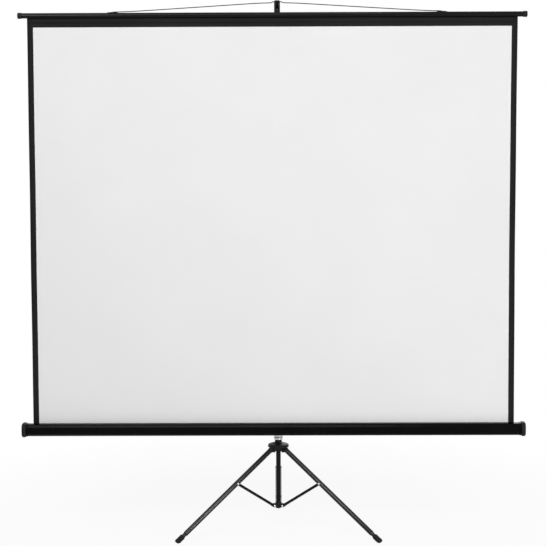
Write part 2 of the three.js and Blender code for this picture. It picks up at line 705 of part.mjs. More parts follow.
function carrierSleeve() {
  const height = CARRIER_BELOW + CARRIER_ABOVE;
  const middle = (CARRIER_ABOVE - CARRIER_BELOW) / 2;
  const swivelBore = bar(SWIVEL_RADIUS + CLEAR, SWIVEL_DEPTH + THROUGH, 'y');
  const body = join(
    bar(carrierRadius, height, 'z', FINE_ROUND).translate(0, 0, middle),
    block(BLOCK_WIDTH, BLOCK_FRONT, BLOCK_HEIGHT).translate(0, -BLOCK_FRONT / 2, 0),
    knobBoss(carrierRadius).translate(0, 0, CARRIER_KNOB_UP),
  );
  return cut(
    body,
    bar(POST_RADIUS + CLEAR, height + THROUGH, 'z', FINE_ROUND).translate(0, 0, middle),
    swivelBore.translate(0, SWIVEL_DEPTH - BLOCK_FRONT - (SWIVEL_DEPTH + THROUGH) / 2, 0),
    knobBore(carrierRadius).translate(0, 0, CARRIER_KNOB_UP),
  );
}

function swivelPlate() {
  const bore = bar(SWIVEL_RADIUS + CLEAR, PLATE_BORE + THROUGH, 'y');
  return cut(
    bar(PLATE_RADIUS, PLATE_THICKNESS, 'y', FINE_ROUND),
    bore.translate(0, PLATE_THICKNESS / 2 - PLATE_BORE + (PLATE_BORE + THROUGH) / 2, 0),
  );
}

function addCarrier(mast) {
  piece(mast, 'carrier_ring', carrierRing(), NICKEL).position.z = ringBottom;
  piece(mast, 'carrier_sleeve', carrierSleeve(), BLACK_PLASTIC).position.z = swivelZ;

  const boltBack = BLOCK_FRONT - SWIVEL_DEPTH + CLEAR;
  const boltFront = BLOCK_FRONT + CLEAR + PLATE_BORE - CLEAR;
  const bolt = bar(SWIVEL_RADIUS, boltFront - boltBack, 'y');
  piece(mast, 'swivel_bolt', bolt, ZINC).position.set(0, -(boltFront + boltBack) / 2, swivelZ);

  const stud = carrierRadius + KNOB_BOSS_REACH + CLEAR - POST_RADIUS - CLEAR;
  const knob = piece(mast, 'carrier_knob', clampKnob(stud), BLACK_PLASTIC);
  knob.position.set(0, POST_RADIUS + CLEAR, swivelZ + CARRIER_KNOB_UP);

  const plate = piece(mast, 'swivel_plate', swivelPlate(), BLACK_PAINT);
  plate.position.set(0, -(BLOCK_FRONT + CLEAR + PLATE_THICKNESS / 2), swivelZ);
}

// Case with its roller, in a frame whose x axis is the roller's axis

function caseShell() {
  const outline = roundedBox(CASE_DEPTH, CASE_HEIGHT, CASE_CORNER);
  const inside = [CASE_DEPTH, CASE_HEIGHT].map((size) => size - 2 * CASE_WALL);
  outline.holes.push(roundedBox(...inside, CASE_CORNER - CASE_WALL));
  const length = 2 * (caseHalf - CAP_END - CLEAR);
  const slot = block(length + THROUGH, CLOTH_THICKNESS + 2 * SLOT_CLEAR, CASE_HEIGHT);
  return cut(prism(outline, length, 'x', 3), slot.translate(0, clothY - caseY, CASE_HEIGHT / 2));
}

// Cup over one end of the case: a thin sleeve, a proud rounded rim and a boss for the roller's axle.
// Its closed end faces +x.
function caseCap() {
  const outline = roundedBox(
    CASE_DEPTH + 2 * (CLEAR + CAP_WALL),
    CASE_HEIGHT + 2 * (CLEAR + CAP_WALL),
    CASE_CORNER + CLEAR + CAP_WALL,
  );
  const rim = new THREE.ExtrudeGeometry(outline, {
    depth: CAP_RIM - 2 * CAP_ROUND,
    bevelThickness: CAP_ROUND,
    bevelSize: CAP_ROUND,
    bevelOffset: -CAP_ROUND,
    bevelSegments: 2,
    curveSegments: 3,
  }).translate(0, 0, CAP_ROUND - CAP_RIM).applyMatrix4(TURN.x);
  const mouthLength = CAP_LENGTH - CAP_END;
  const mouth = prism(
    roundedBox(
      CASE_DEPTH + 2 * (CLEAR + CAP_MOUTH_WALL),
      CASE_HEIGHT + 2 * (CLEAR + CAP_MOUTH_WALL),
      CASE_CORNER + CLEAR + CAP_MOUTH_WALL,
    ),
    mouthLength,
    'x',
    3,
  );
  const hollow = prism(
    roundedBox(CASE_DEPTH + 2 * CLEAR, CASE_HEIGHT + 2 * CLEAR, CASE_CORNER + CLEAR),
    mouthLength + THROUGH,
    'x',
    3,
  );
  const boss = bar(CAP_BOSS_RADIUS, CAP_BOSS_REACH + EDGE_BITE, 'x');
  const axleBore = bar(AXLE_RADIUS + CLEAR, CAP_BOSS_REACH + THROUGH, 'x', SMALL_ROUND);
  const floor = -CAP_END;
  const cup = cut(
    join(rim, mouth.translate(floor - mouthLength / 2, 0, 0)),
    hollow.translate(floor - (mouthLength + THROUGH) / 2, 0, 0),
  );
  return cut(
    join(cup, boss.translate(floor + (EDGE_BITE - CAP_BOSS_REACH) / 2, 0, 0)),
    axleBore.translate(floor - (CAP_BOSS_REACH + THROUGH) / 2, 0, 0),
  );
}

class Helix extends THREE.Curve {
  getPoint(t, target = new THREE.Vector3()) {
    const angle = 2 * Math.PI * SPRING_TURNS * t;
    const along = (t - 0.5) * SPRING_LENGTH;
    return target.set(along, SPRING_RADIUS * Math.cos(angle), SPRING_RADIUS * Math.sin(angle));
  }
}

function rollerSpring() {
  return new THREE.ExtrudeGeometry(disc(SPRING_WIRE), {
    steps: SPRING_TURNS * SPRING_STEPS,
    extrudePath: new Helix(),
    curveSegments: WIRE_ROUND / 2,
  });
}

function addCase(screen) {
  const axis = new THREE.Group();
  axis.position.set(0, caseY, swivelZ);
  screen.add(axis);
  const leftCap = caseCap().rotateZ(Math.PI).translate(-caseHalf, 0, 0);
  piece(axis, 'case_shell', caseShell(), BLACK_PAINT);
  piece(axis, 'case_cap_right', caseCap().translate(caseHalf, 0, 0), BLACK_PLASTIC);
  piece(axis, 'case_cap_left', leftCap, BLACK_PLASTIC);

  const rollerHalf = CLOTH_WIDTH / 2 + ROLLER_OVERHANG;
  const bore = ROLLER_RADIUS - ROLLER_WALL;
  const axleEnd = caseHalf - CAP_END - CLEAR;
  piece(axis, 'roller_tube', pipe(ROLLER_RADIUS, bore, 2 * rollerHalf, 'x'), ZINC);
  const roll = pipe(rollRadius, ROLLER_RADIUS + CLEAR, CLOTH_WIDTH, 'x');
  piece(axis, 'cloth_roll', roll, CLOTH);

  const plug = () => bar(bore - CLEAR, PLUG_DEPTH, 'x').translate(rollerHalf - PLUG_DEPTH / 2, 0, 0);
  const pinLength = axleEnd - rollerHalf + EDGE_BITE;
  const pin = bar(AXLE_RADIUS, pinLength, 'x', SMALL_ROUND).translate(axleEnd - pinLength / 2, 0, 0);
  piece(axis, 'roller_gudgeon', join(plug(), pin).rotateZ(Math.PI), NYLON);
  const bearingBore = bar(AXLE_RADIUS + CLEAR, 2 * (rollerHalf + THROUGH), 'x', SMALL_ROUND);
  piece(axis, 'roller_bearing', cut(plug(), bearingBore), NYLON);
  const arbor = bar(AXLE_RADIUS, ARBOR_REACH, 'x', SMALL_ROUND);
  piece(axis, 'spring_arbor', arbor, ZINC).position.x = axleEnd - ARBOR_REACH / 2;
  const springEnd = rollerHalf - PLUG_DEPTH - SPRING_WIRE - CLEAR;
  piece(axis, 'roller_spring', rollerSpring(), ZINC).position.x = springEnd - SPRING_LENGTH / 2;
}

// Cloth from the roller up to the bar, and the bar with its bail

const hemZ = barZ - BAR_RADIUS + BAR_WALL + CLEAR + HEM_ROD_RADIUS;

function barTube() {
  const length = 2 * (barHalf - BAR_CAP_END - CLEAR);
  const slot = block(length + THROUGH, BAR_SLOT, BAR_RADIUS);
  return cut(
    pipe(BAR_RADIUS, BAR_RADIUS - BAR_WALL, length, 'x', FINE_ROUND),
    slot.translate(0, 0, -BAR_RADIUS),
  );
}

// Cup over one end of the bar. Its closed end faces +x.
function barCap() {
  const bore = BAR_RADIUS + CLEAR;
  const cup = bar(bore + BAR_CAP_WALL, BAR_CAP_LENGTH, 'x', FINE_ROUND);
  const hollow = bar(bore, BAR_CAP_LENGTH, 'x', FINE_ROUND);
  return cut(
    cup.translate(-BAR_CAP_LENGTH / 2, 0, 0),
    hollow.translate(-BAR_CAP_LENGTH / 2 - BAR_CAP_END, 0, 0),
  );
}

// Saddle on top of the bar that holds one end of the bail
function bailClip() {
  const hinge = BAR_RADIUS + CLIP_SEAT;
  const top = hinge + CLIP_TOP;
  return cut(
    block(CLIP_LENGTH, CLIP_DEPTH, top).translate(0, 0, top / 2),
    bar(BAR_RADIUS + CLEAR, CLIP_LENGTH + THROUGH, 'x', FINE_ROUND),
    bar(BAIL_RADIUS + 2 * CLEAR, CLIP_LENGTH + THROUGH, 'x', SMALL_ROUND).translate(0, 0, hinge),
  );
}

// Bail: half of its line, from the end in a clip to the seat on the hook, as [along, rise] pairs
function bailHalf() {
  const half = BAIL_SPAN / 2;
  return [
    [half + BAIL_END, 0],
    [half + BAIL_END / 2, 0],
    [half, 0],
    [half - BAIL_FOOT_RUN, BAIL_FOOT_RISE],
    [half - BAIL_MID_RUN, BAIL_MID_RISE],
    [BAIL_BROW, BAIL_BROW_RISE],
    [BAIL_SEAT + BAIL_BEND, BAIL_SHOULDER],
    [BAIL_SEAT, BAIL_RISE],
    [BAIL_SEAT / 2, BAIL_RISE],
  ];
}

function bailWire() {
  const right = bailHalf();
  const left = [...right].reverse().map(([x, rise]) => [-x, rise]);
  const points = [...right, ...left].map(([x, rise]) => new THREE.Vector3(
    x,
    rise * Math.sin(bailLean),
    rise * Math.cos(bailLean),
  ));
  return new THREE.ExtrudeGeometry(disc(BAIL_RADIUS), {
    steps: BAIL_STEPS,
    extrudePath: new THREE.CatmullRomCurve3(points, false, 'centripetal'),
    curveSegments: WIRE_ROUND / 2,
  });
}

function addCloth(screen) {
  const top = hemZ - HEM_ROD_RADIUS - CLEAR;
  const sheet = block(CLOTH_WIDTH, CLOTH_THICKNESS, top - swivelZ);
  piece(screen, 'screen_cloth', sheet, CLOTH).position.set(0, clothY, (top + swivelZ) / 2);

  const line = new THREE.Group();
  line.position.set(0, clothY, barZ);
  screen.add(line);
  const leftCap = barCap().rotateZ(Math.PI).translate(-barHalf, 0, 0);
  piece(line, 'bar_tube', barTube(), BLACK_PAINT);
  piece(line, 'bar_cap_right', barCap().translate(barHalf, 0, 0), BLACK_PLASTIC);
  piece(line, 'bar_cap_left', leftCap, BLACK_PLASTIC);
  const hemRod = bar(HEM_ROD_RADIUS, CLOTH_WIDTH, 'x', SMALL_ROUND);
  piece(line, 'hem_rod', hemRod, ZINC).position.z = hemZ - barZ;

  const clipPlace = BAIL_SPAN / 2 + CLIP_LENGTH / 2;
  piece(line, 'bail_clip_left', bailClip(), BLACK_PLASTIC).position.x = MAST_OFFSET - clipPlace;
  piece(line, 'bail_clip_right', bailClip(), BLACK_PLASTIC).position.x = MAST_OFFSET + clipPlace;
  piece(line, 'bail_wire', bailWire(), WIRE_STEEL).position.set(MAST_OFFSET, 0, bailZ - barZ);
}

// Assembly: the screen hangs in front of the mast, and the origin is the middle of the base

const part = new THREE.Group();
const mast = new THREE.Group();
mast.position.x = MAST_OFFSET;
part.add(mast);
addTripod(mast);
addMast(mast);
addCarrier(mast);
const screen = new THREE.Group();
part.add(screen);
addCase(screen);
addCloth(screen);

part.updateMatrixWorld(true);
const box = new THREE.Box3().setFromObject(part, true);
part.position.y = -(box.min.y + box.max.y) / 2;

export default part;
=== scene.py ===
import json
import math

import bmesh
import bpy
from mathutils import Matrix, Vector


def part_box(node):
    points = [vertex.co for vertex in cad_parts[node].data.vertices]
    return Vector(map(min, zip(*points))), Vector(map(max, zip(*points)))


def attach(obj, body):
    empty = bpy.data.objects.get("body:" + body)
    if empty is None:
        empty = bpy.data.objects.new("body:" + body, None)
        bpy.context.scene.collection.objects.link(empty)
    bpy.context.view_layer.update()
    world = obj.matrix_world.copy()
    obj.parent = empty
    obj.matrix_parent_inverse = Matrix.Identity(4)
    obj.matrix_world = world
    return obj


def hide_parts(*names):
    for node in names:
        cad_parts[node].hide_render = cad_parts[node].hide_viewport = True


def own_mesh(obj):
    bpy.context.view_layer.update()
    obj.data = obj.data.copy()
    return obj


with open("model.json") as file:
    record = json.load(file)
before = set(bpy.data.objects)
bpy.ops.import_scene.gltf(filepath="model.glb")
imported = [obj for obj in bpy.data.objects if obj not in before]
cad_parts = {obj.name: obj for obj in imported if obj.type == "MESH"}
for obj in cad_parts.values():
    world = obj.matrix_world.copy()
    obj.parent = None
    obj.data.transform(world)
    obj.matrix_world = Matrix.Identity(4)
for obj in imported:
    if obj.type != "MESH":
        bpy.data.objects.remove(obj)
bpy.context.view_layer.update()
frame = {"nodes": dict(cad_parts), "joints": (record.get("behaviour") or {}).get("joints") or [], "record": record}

MM = 0.001
FINE, COARSE = 64, 40  # faces round a turned piece
SHARP = 38  # degrees: steeper edges stay sharp


def mm(*values):
    return tuple(v * MM for v in values)


def centre(node):
    low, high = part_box(node)
    return (low + high) / 2


# Places and shared sizes

SIDES = {"left": 210, "right": 330, "rear": 90}  # each leg's direction about the mast, degrees
MAST = Matrix.Translation(Vector((centre("post_tube").x, centre("post_tube").y, 0)))
MAST_Y = MAST.translation.y
POST_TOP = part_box("post_tube")[1].z
POST_FIT, ROD_FIT, SPREADER_FIT = mm(14.3, 11.3, 12.3)  # radii of the bores round these tubes
LEG_ANGLE = math.radians(37)  # below the horizontal
LEG_LENGTH = 668 * MM
PIVOT_RADIUS = 30 * MM  # hub and collar pivots, from the mast's axis
PIVOT_OFFSET = 15 * MM  # hub pivot, under the leg's axis
STRUT_POINT = 250 * MM  # strut rivet, along the leg
PIVOT_Z = centre("hub_pin_left").z
COLLAR_Z = centre("collar_pin_left").z
LEG_TOP = Vector((
    PIVOT_RADIUS + PIVOT_OFFSET * math.sin(LEG_ANGLE),
    0,
    PIVOT_Z + PIVOT_OFFSET * math.cos(LEG_ANGLE),
))
RIVET = LEG_TOP + STRUT_POINT * Vector((math.cos(LEG_ANGLE), 0, -math.sin(LEG_ANGLE)))
STRUT_TURN = math.atan2(RIVET.z - COLLAR_Z, PIVOT_RADIUS - RIVET.x)
STRUT_LENGTH = math.hypot(RIVET.z - COLLAR_Z, RIVET.x - PIVOT_RADIUS)

Z_TO_X = Matrix.Rotation(math.radians(90), 4, "Y")
Z_TO_Y = Matrix.Rotation(math.radians(-90), 4, "X")
FLIP_X = Matrix.Rotation(math.radians(180), 4, "Z")


def moved(x, y, z):
    return Matrix.Translation(Vector((x, y, z)))


def turned_about_z(degrees):
    return Matrix.Rotation(math.radians(degrees), 4, "Z")


def leg_plane(side):
    return MAST @ turned_about_z(SIDES[side])


def along_leg(side):
    return leg_plane(side) @ Matrix.Translation(LEG_TOP) @ Matrix.Rotation(LEG_ANGLE, 4, "Y")


def along_strut(side):
    return leg_plane(side) @ Matrix.Translation(RIVET) @ Matrix.Rotation(STRUT_TURN, 4, "Y")


# Nodes

def set_inputs(node, values):
    for key, value in values.items():
        node.inputs[key].default_value = value


class Wiring:
    """Short ways to add nodes to a tree and join them."""

    def __init__(self, tree):
        self.tree = tree

    def node(self, kind, values=None, **settings):
        made = self.tree.nodes.new(kind)
        for key, value in settings.items():
            setattr(made, key, value)
        set_inputs(made, values or {})
        return made

    def join(self, source, output, target, socket):
        self.tree.links.new(source.outputs[output], target.inputs[socket])


# Finishes

class Finish(Wiring):
    """A material whose colour, gloss and grain vary a little."""

    def __init__(self, name, color, roughness, metallic=0.0):
        self.material = bpy.data.materials.new(name)
        self.material.use_nodes = True
        super().__init__(self.material.node_tree)
        self.shader = self.tree.nodes["Principled BSDF"]
        set_inputs(self.shader, {
            "Base Color": (*color, 1), "Roughness": roughness, "Metallic": metallic,
        })

    def coords(self, scale=(1, 1, 1), output="Object"):
        place = self.node("ShaderNodeTexCoord")
        mapping = self.node("ShaderNodeMapping", {"Scale": scale})
        self.join(place, output, mapping, "Vector")
        return mapping

    def noise(self, scale, detail, stretch=(1, 1, 1), output="Object"):
        made = self.node("ShaderNodeTexNoise", {"Scale": scale, "Detail": detail})
        self.join(self.coords(stretch, output), "Vector", made, "Vector")
        return made

    def vary_roughness(self, source, low, high):
        spread = self.node("ShaderNodeMapRange", {
            "From Min": 0.3, "From Max": 0.7, "To Min": low, "To Max": high,
        })
        self.join(source, "Fac", spread, "Value")
        self.join(spread, "Result", self.shader, "Roughness")

    def vary_color(self, source, first, second):
        ramp = self.node("ShaderNodeValToRGB")
        for stop, position, color in zip(ramp.color_ramp.elements, (0.32, 0.68), (first, second)):
            stop.position = position
            stop.color = (*color, 1)
        self.join(source, "Fac", ramp, "Fac")
        self.join(ramp, "Color", self.shader, "Base Color")
        return ramp

    def bump(self, source, strength, distance, output="Fac", after=None):
        made = self.node("ShaderNodeBump", {"Strength": strength, "Distance": distance})
        self.join(source, output, made, "Height")
        if after:
            self.join(after, "Normal", made, "Normal")
        self.join(made, "Normal", self.shader, "Normal")
        return made


def satin_paint(name, dark, light, rough, shine):
    paint = Finish(name, dark, sum(rough) / 2)
    set_inputs(paint.shader, {"Specular IOR Level": shine})
    paint.vary_color(paint.noise(9, 4), dark, light)
    paint.vary_roughness(paint.noise(70, 5), *rough)
    peel = paint.bump(paint.noise(420, 2), 0.10, 0.0006)
    paint.bump(paint.noise(2600, 2), 0.12, 0.0002, after=peel)
    return paint.material


def moulded_plastic():
    plastic = Finish("moulded_plastic", (0.006, 0.006, 0.0065), 0.48)
    set_inputs(plastic.shader, {"Specular IOR Level": 0.15})
    plastic.vary_color(plastic.noise(14, 4), (0.005, 0.005, 0.0055), (0.008, 0.008, 0.0085))
    plastic.vary_roughness(plastic.noise(120, 4), 0.40, 0.56)
    grain = plastic.node("ShaderNodeTexVoronoi", {"Scale": 1500})
    plastic.join(plastic.coords(), "Vector", grain, "Vector")
    plastic.bump(grain, 0.22, 0.0003, output="Distance")
    return plastic.material


def boot_rubber():
    rubber = Finish("boot_rubber", (0.010, 0.010, 0.010), 0.82)
    set_inputs(rubber.shader, {"Specular IOR Level": 0.2})
    ramp = rubber.vary_color(rubber.noise(60, 5), (0.008, 0.008, 0.008), (0.016, 0.0155, 0.015))
    ramp.color_ramp.interpolation = "EASE"
    rubber.vary_roughness(rubber.noise(90, 4), 0.74, 0.92)
    rubber.bump(rubber.noise(900, 4), 0.3, 0.0004)
    return rubber.material


def plated_steel(name, first, second, rough, bump, stretch=(1, 1, 1)):
    steel = Finish(name, first, sum(rough) / 2, 1.0)
    steel.vary_color(steel.noise(26, 5), first, second)
    steel.vary_roughness(steel.noise(160, 4, stretch), *rough)
    steel.bump(steel.noise(900, 3, stretch), bump, 0.0002)
    return steel.material


def plain_nylon():
    nylon = Finish("natural_nylon", (0.62, 0.60, 0.54), 0.5)
    nylon.vary_color(nylon.noise(30, 3), (0.58, 0.56, 0.50), (0.66, 0.64, 0.58))
    nylon.bump(nylon.noise(1200, 2), 0.1, 0.0002)
    return nylon.material


def woven(name, first, second, roughness, thread, sheen, shine):
    cloth = Finish(name, first, roughness)
    set_inputs(cloth.shader, {
        "Specular IOR Level": shine, "Sheen Weight": sheen, "Sheen Roughness": 0.5,
    })
    cloth.vary_color(cloth.noise(2.2, 4, output="UV"), first, second)
    bumps = None
    for direction in "XY":
        threads = cloth.node("ShaderNodeTexWave", {"Scale": 260, "Distortion": 0.3},
                             bands_direction=direction)
        cloth.join(cloth.coords(output="UV"), "Vector", threads, "Vector")
        bumps = cloth.bump(threads, thread, 0.00012, after=bumps)
    cloth.bump(cloth.noise(1.6, 2, output="UV"), 0.25, 0.004, after=bumps)
    return cloth.material


TURNED = (0.05, 0.05, 1)  # tool marks that run round an upright piece
DRAWN = (0.05, 1, 1)  # drawing marks along a level wire

PAINT = satin_paint("satin_black_paint", (0.001, 0.001, 0.0012), (0.002, 0.002, 0.0022),
                    rough=(0.16, 0.22), shine=0.045)
TUBE_PAINT = satin_paint("black_tube_paint", (0.0015, 0.0015, 0.002), (0.003, 0.003, 0.0035),
                         rough=(0.12, 0.19), shine=0.14)
LEG_PAINT = satin_paint("gloss_leg_paint", (0.001, 0.001, 0.0012), (0.002, 0.002, 0.0022),
                        rough=(0.12, 0.18), shine=0.32)
PLASTIC = moulded_plastic()
RUBBER = boot_rubber()
ZINC = plated_steel("zinc_plate", (0.56, 0.57, 0.58), (0.66, 0.66, 0.65),
                    rough=(0.28, 0.44), bump=0.1)
NICKEL = plated_steel("satin_nickel", (0.56, 0.56, 0.555), (0.64, 0.64, 0.63),
                      rough=(0.20, 0.28), bump=0.04, stretch=TURNED)
# a darker copy of the satin nickel: painted shade for the carrier ring's groove
GROOVE_SHADE_NICKEL = plated_steel("dull_nickel", (0.22, 0.22, 0.22), (0.28, 0.28, 0.275),
                           rough=(0.34, 0.46), bump=0.04, stretch=TURNED)
WIRE = plated_steel("spring_wire", (0.018, 0.018, 0.019), (0.032, 0.032, 0.034),
                    rough=(0.3, 0.42), bump=0.1, stretch=DRAWN)
NYLON = plain_nylon()
WHITE_CLOTH = woven("white_cloth", (0.79, 0.79, 0.79), (0.81, 0.81, 0.81),
                    roughness=0.9, thread=0.12, sheen=0.05, shine=0.2)
BORDER_INK = woven("black_border", (0.010, 0.010, 0.0105), (0.014, 0.014, 0.0145),
                   roughness=0.72, thread=0.2, sheen=0.02, shine=0.1)
CLOTH_BACK = woven("black_backing", (0.012, 0.012, 0.0125), (0.018, 0.018, 0.0185),
                   roughness=0.62, thread=0.25, sheen=0.02, shine=0.14)

SLOT_FINISH = {
    "black_paint": PAINT,
    "black_plastic": PLASTIC,
    "rubber": RUBBER,
    "zinc": ZINC,
    "nickel": NICKEL,
    "wire": WIRE,
    "nylon": NYLON,
    "cloth": WHITE_CLOTH,
}
for part in frame["record"]["subparts"]:
    for material_slot in frame["nodes"][part["node"]].material_slots:
        material_slot.material = SLOT_FINISH[part["material_slot"]]


# Shapes

def shown(name, data):
    """A new object in the scene."""
    piece = bpy.data.objects.new(name, data)
    bpy.context.scene.collection.objects.link(piece)
    return piece


def smooth_shaded(mesh, angle=SHARP):
    mesh.shade_smooth()
    mesh.set_sharp_from_angle(angle=math.radians(angle))


def finished(name, bm, material, smooth=SHARP):
    """The mesh as an object, smooth apart from its sharp edges."""
    bmesh.ops.remove_doubles(bm, verts=bm.verts, dist=1e-7)
    bmesh.ops.recalc_face_normals(bm, faces=bm.faces)
    mesh = bpy.data.meshes.new(name)
    bm.to_mesh(mesh)
    bm.free()
    smooth_shaded(mesh, smooth)
    mesh.materials.append(material)
    return shown(name, mesh)


def baked(piece):
    """Makes the piece's modifiers part of its mesh."""
    graph = bpy.context.evaluated_depsgraph_get()
    mesh = bpy.data.meshes.new_from_object(piece.evaluated_get(graph))
    piece.modifiers.clear()
    old = piece.data
    piece.data = mesh
    bpy.data.meshes.remove(old)


def arc(cx, cy, radius, start, end, steps):
    turns = [math.radians(start + (end - start) * k / steps) for k in range(steps + 1)]
    return [(cx + radius * math.cos(a), cy + radius * math.sin(a)) for a in turns]


def rounded_square(half, corner, steps):
    """Points round a square with rounded corners."""
    c = half - corner
    points = []
    for k, (y, z) in enumerate(((c, c), (-c, c), (-c, -c), (c, -c))):
        points += arc(y, z, corner, 90 * k, 90 * (k + 1), steps)
    return points


def eased(points, radius, steps=3, loop=True):
    """A line of points with its corners rounded."""
    pts = [Vector(p) for p in points]
    out = []
    for i, p in enumerate(pts):
        if not loop and i in (0, len(pts) - 1):
            out.append(p)
            continue
        before, after = pts[i - 1] - p, pts[(i + 1) % len(pts)] - p
        reach = min(radius, 0.45 * before.length, 0.45 * after.length)
        start, end = p + before.normalized() * reach, p + after.normalized() * reach
        for k in range(steps + 1):
            t = k / steps
            out.append((1 - t) ** 2 * start + 2 * t * (1 - t) * p + t * t * end)
    return out


def smooth_line(points, steps):
    """A centripetal Catmull-Rom line through points."""
    pts = [Vector(p) for p in points]
    pts = [pts[0] * 2 - pts[1]] + pts + [pts[-1] * 2 - pts[-2]]
    out = []
    for a, b, c, d in zip(pts, pts[1:], pts[2:], pts[3:]):
        t0 = 0.0
        t1 = t0 + (b - a).length ** 0.5
        t2 = t1 + (c - b).length ** 0.5
        t3 = t2 + (d - c).length ** 0.5
        for k in range(steps):
            t = t1 + (t2 - t1) * k / steps
            ab = a * ((t1 - t) / (t1 - t0)) + b * ((t - t0) / (t1 - t0))
            bc = b * ((t2 - t) / (t2 - t1)) + c * ((t - t1) / (t2 - t1))
            cd = c * ((t3 - t) / (t3 - t2)) + d * ((t - t2) / (t3 - t2))
            abc = ab * ((t2 - t) / (t2 - t0)) + bc * ((t - t0) / (t2 - t0))
            bcd = bc * ((t3 - t) / (t3 - t1)) + cd * ((t - t1) / (t3 - t1))
            out.append(abc * ((t2 - t) / (t2 - t1)) + bcd * ((t - t1) / (t2 - t1)))
    return out + [pts[-2]]


def strip(bm, first, second):
    """Faces between two rings of points, either of which may be a single point."""
    count = max(len(first), len(second))
    for i in range(count):
        j = (i + 1) % count
        corners = []
        for ring, order in ((first, (i, j)), (second, (j, i))):
            corners += [ring[0]] if len(ring) == 1 else [ring[k] for k in order]
        bm.faces.new(corners)


def lathe(name, profile, place, material, steps=FINE, smooth=SHARP):
    """A profile of (radius, height) points turned about the place's z axis."""
    bm = bmesh.new()
    rings = []
    turns = [2 * math.pi * k / steps for k in range(steps)]
    for radius, height in profile:
        if radius < 1e-7:
            rings.append([bm.verts.new(place @ Vector((0, 0, height)))])
            continue
        rings.append([
            bm.verts.new(place @ Vector((radius * math.cos(a), radius * math.sin(a), height)))
            for a in turns
        ])
    for first, second in zip(rings, rings[1:]):
        strip(bm, first, second)
    if len(rings[0]) > 1:
        strip(bm, rings[-1], rings[0])
    return finished(name, bm, material, smooth)


def turned(name, profile, edge, place, material, steps=FINE, ease=3):
    """A lathe piece with eased corners. Its profile is open where it starts on the axis."""
    line = eased(profile, edge, ease, loop=profile[0][0] > 0)
    return lathe(name, line, place, material, steps)


def prism(name, outline, width, place, material, edge):
    """An outline in the place's xz plane pushed to both sides along y, with rounded edges."""
    bm = bmesh.new()
    rings = []
    for y in (-width / 2, width / 2):
        rings.append([bm.verts.new(place @ Vector((p[0], y, p[1]))) for p in outline])
    bm.faces.new(rings[0])
    bm.faces.new(list(reversed(rings[1])))
    strip(bm, rings[0], rings[1])
    piece = finished(name, bm, material)
    bevel = piece.modifiers.new("edge", "BEVEL")
    bevel.width = edge
    bevel.segments = 3
    bevel.limit_method = "ANGLE"
    bevel.angle_limit = math.radians(50)
    baked(piece)
    smooth_shaded(piece.data)
    return piece


def channel(name, outer, inner, low, high, place, material):
    """A slotted tube along x: an outer and an inner line of (y, z) points, joined at the slot."""
    bm = bmesh.new()
    line = list(outer) + list(reversed(inner))
    ends = [[bm.verts.new(place @ Vector((x, y, z))) for y, z in line] for x in (low, high)]
    strip(bm, ends[0], ends[1])
    for ring in ends:
        for i in range(len(outer) - 1):
            bm.faces.new((ring[i], ring[i + 1], ring[-2 - i], ring[-1 - i]))
    return finished(name, bm, material, 30)


def united(piece, *others):
    """One closed body from several that run into each other."""
    for other in others:
        union = piece.modifiers.new("union", "BOOLEAN")
        union.operation = "UNION"
        union.solver = "EXACT"
        union.object = other
        baked(piece)
        bpy.data.objects.remove(other)
    smooth_shaded(piece.data)
    return piece


def fitted(piece, body, finish, *nodes):
    """The piece rides on its body and stands for nodes, which it hides; finish is not used."""
    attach(piece, body)
    if nodes:
        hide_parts(*nodes)


# Repeated small parts and wire, by geometry nodes

def start_tree(name, sizes):
    """A tree with named inputs for its sizes and its finish."""
    tree = bpy.data.node_groups.new(name, "GeometryNodeTree")
    socket = tree.interface.new_socket
    socket("Geometry", in_out="INPUT", socket_type="NodeSocketGeometry")
    for label, kind in sizes:
        socket(label, in_out="INPUT", socket_type=kind)
    socket("Finish", in_out="INPUT", socket_type="NodeSocketMaterial")
    socket("Geometry", in_out="OUTPUT", socket_type="NodeSocketGeometry")
    wiring = Wiring(tree)
    return wiring, wiring.node("NodeGroupInput")


def end_tree(wiring, start, last):
    """The last node's result made real, in its finish."""
    real = wiring.node("GeometryNodeRealizeInstances")
    wiring.join(last, 0, real, 0)
    finish = wiring.node("GeometryNodeSetMaterial")
    wiring.join(real, 0, finish, "Geometry")
    wiring.join(start, "Finish", finish, "Material")
    wiring.join(finish, 0, wiring.node("NodeGroupOutput"), 0)
    return wiring.tree


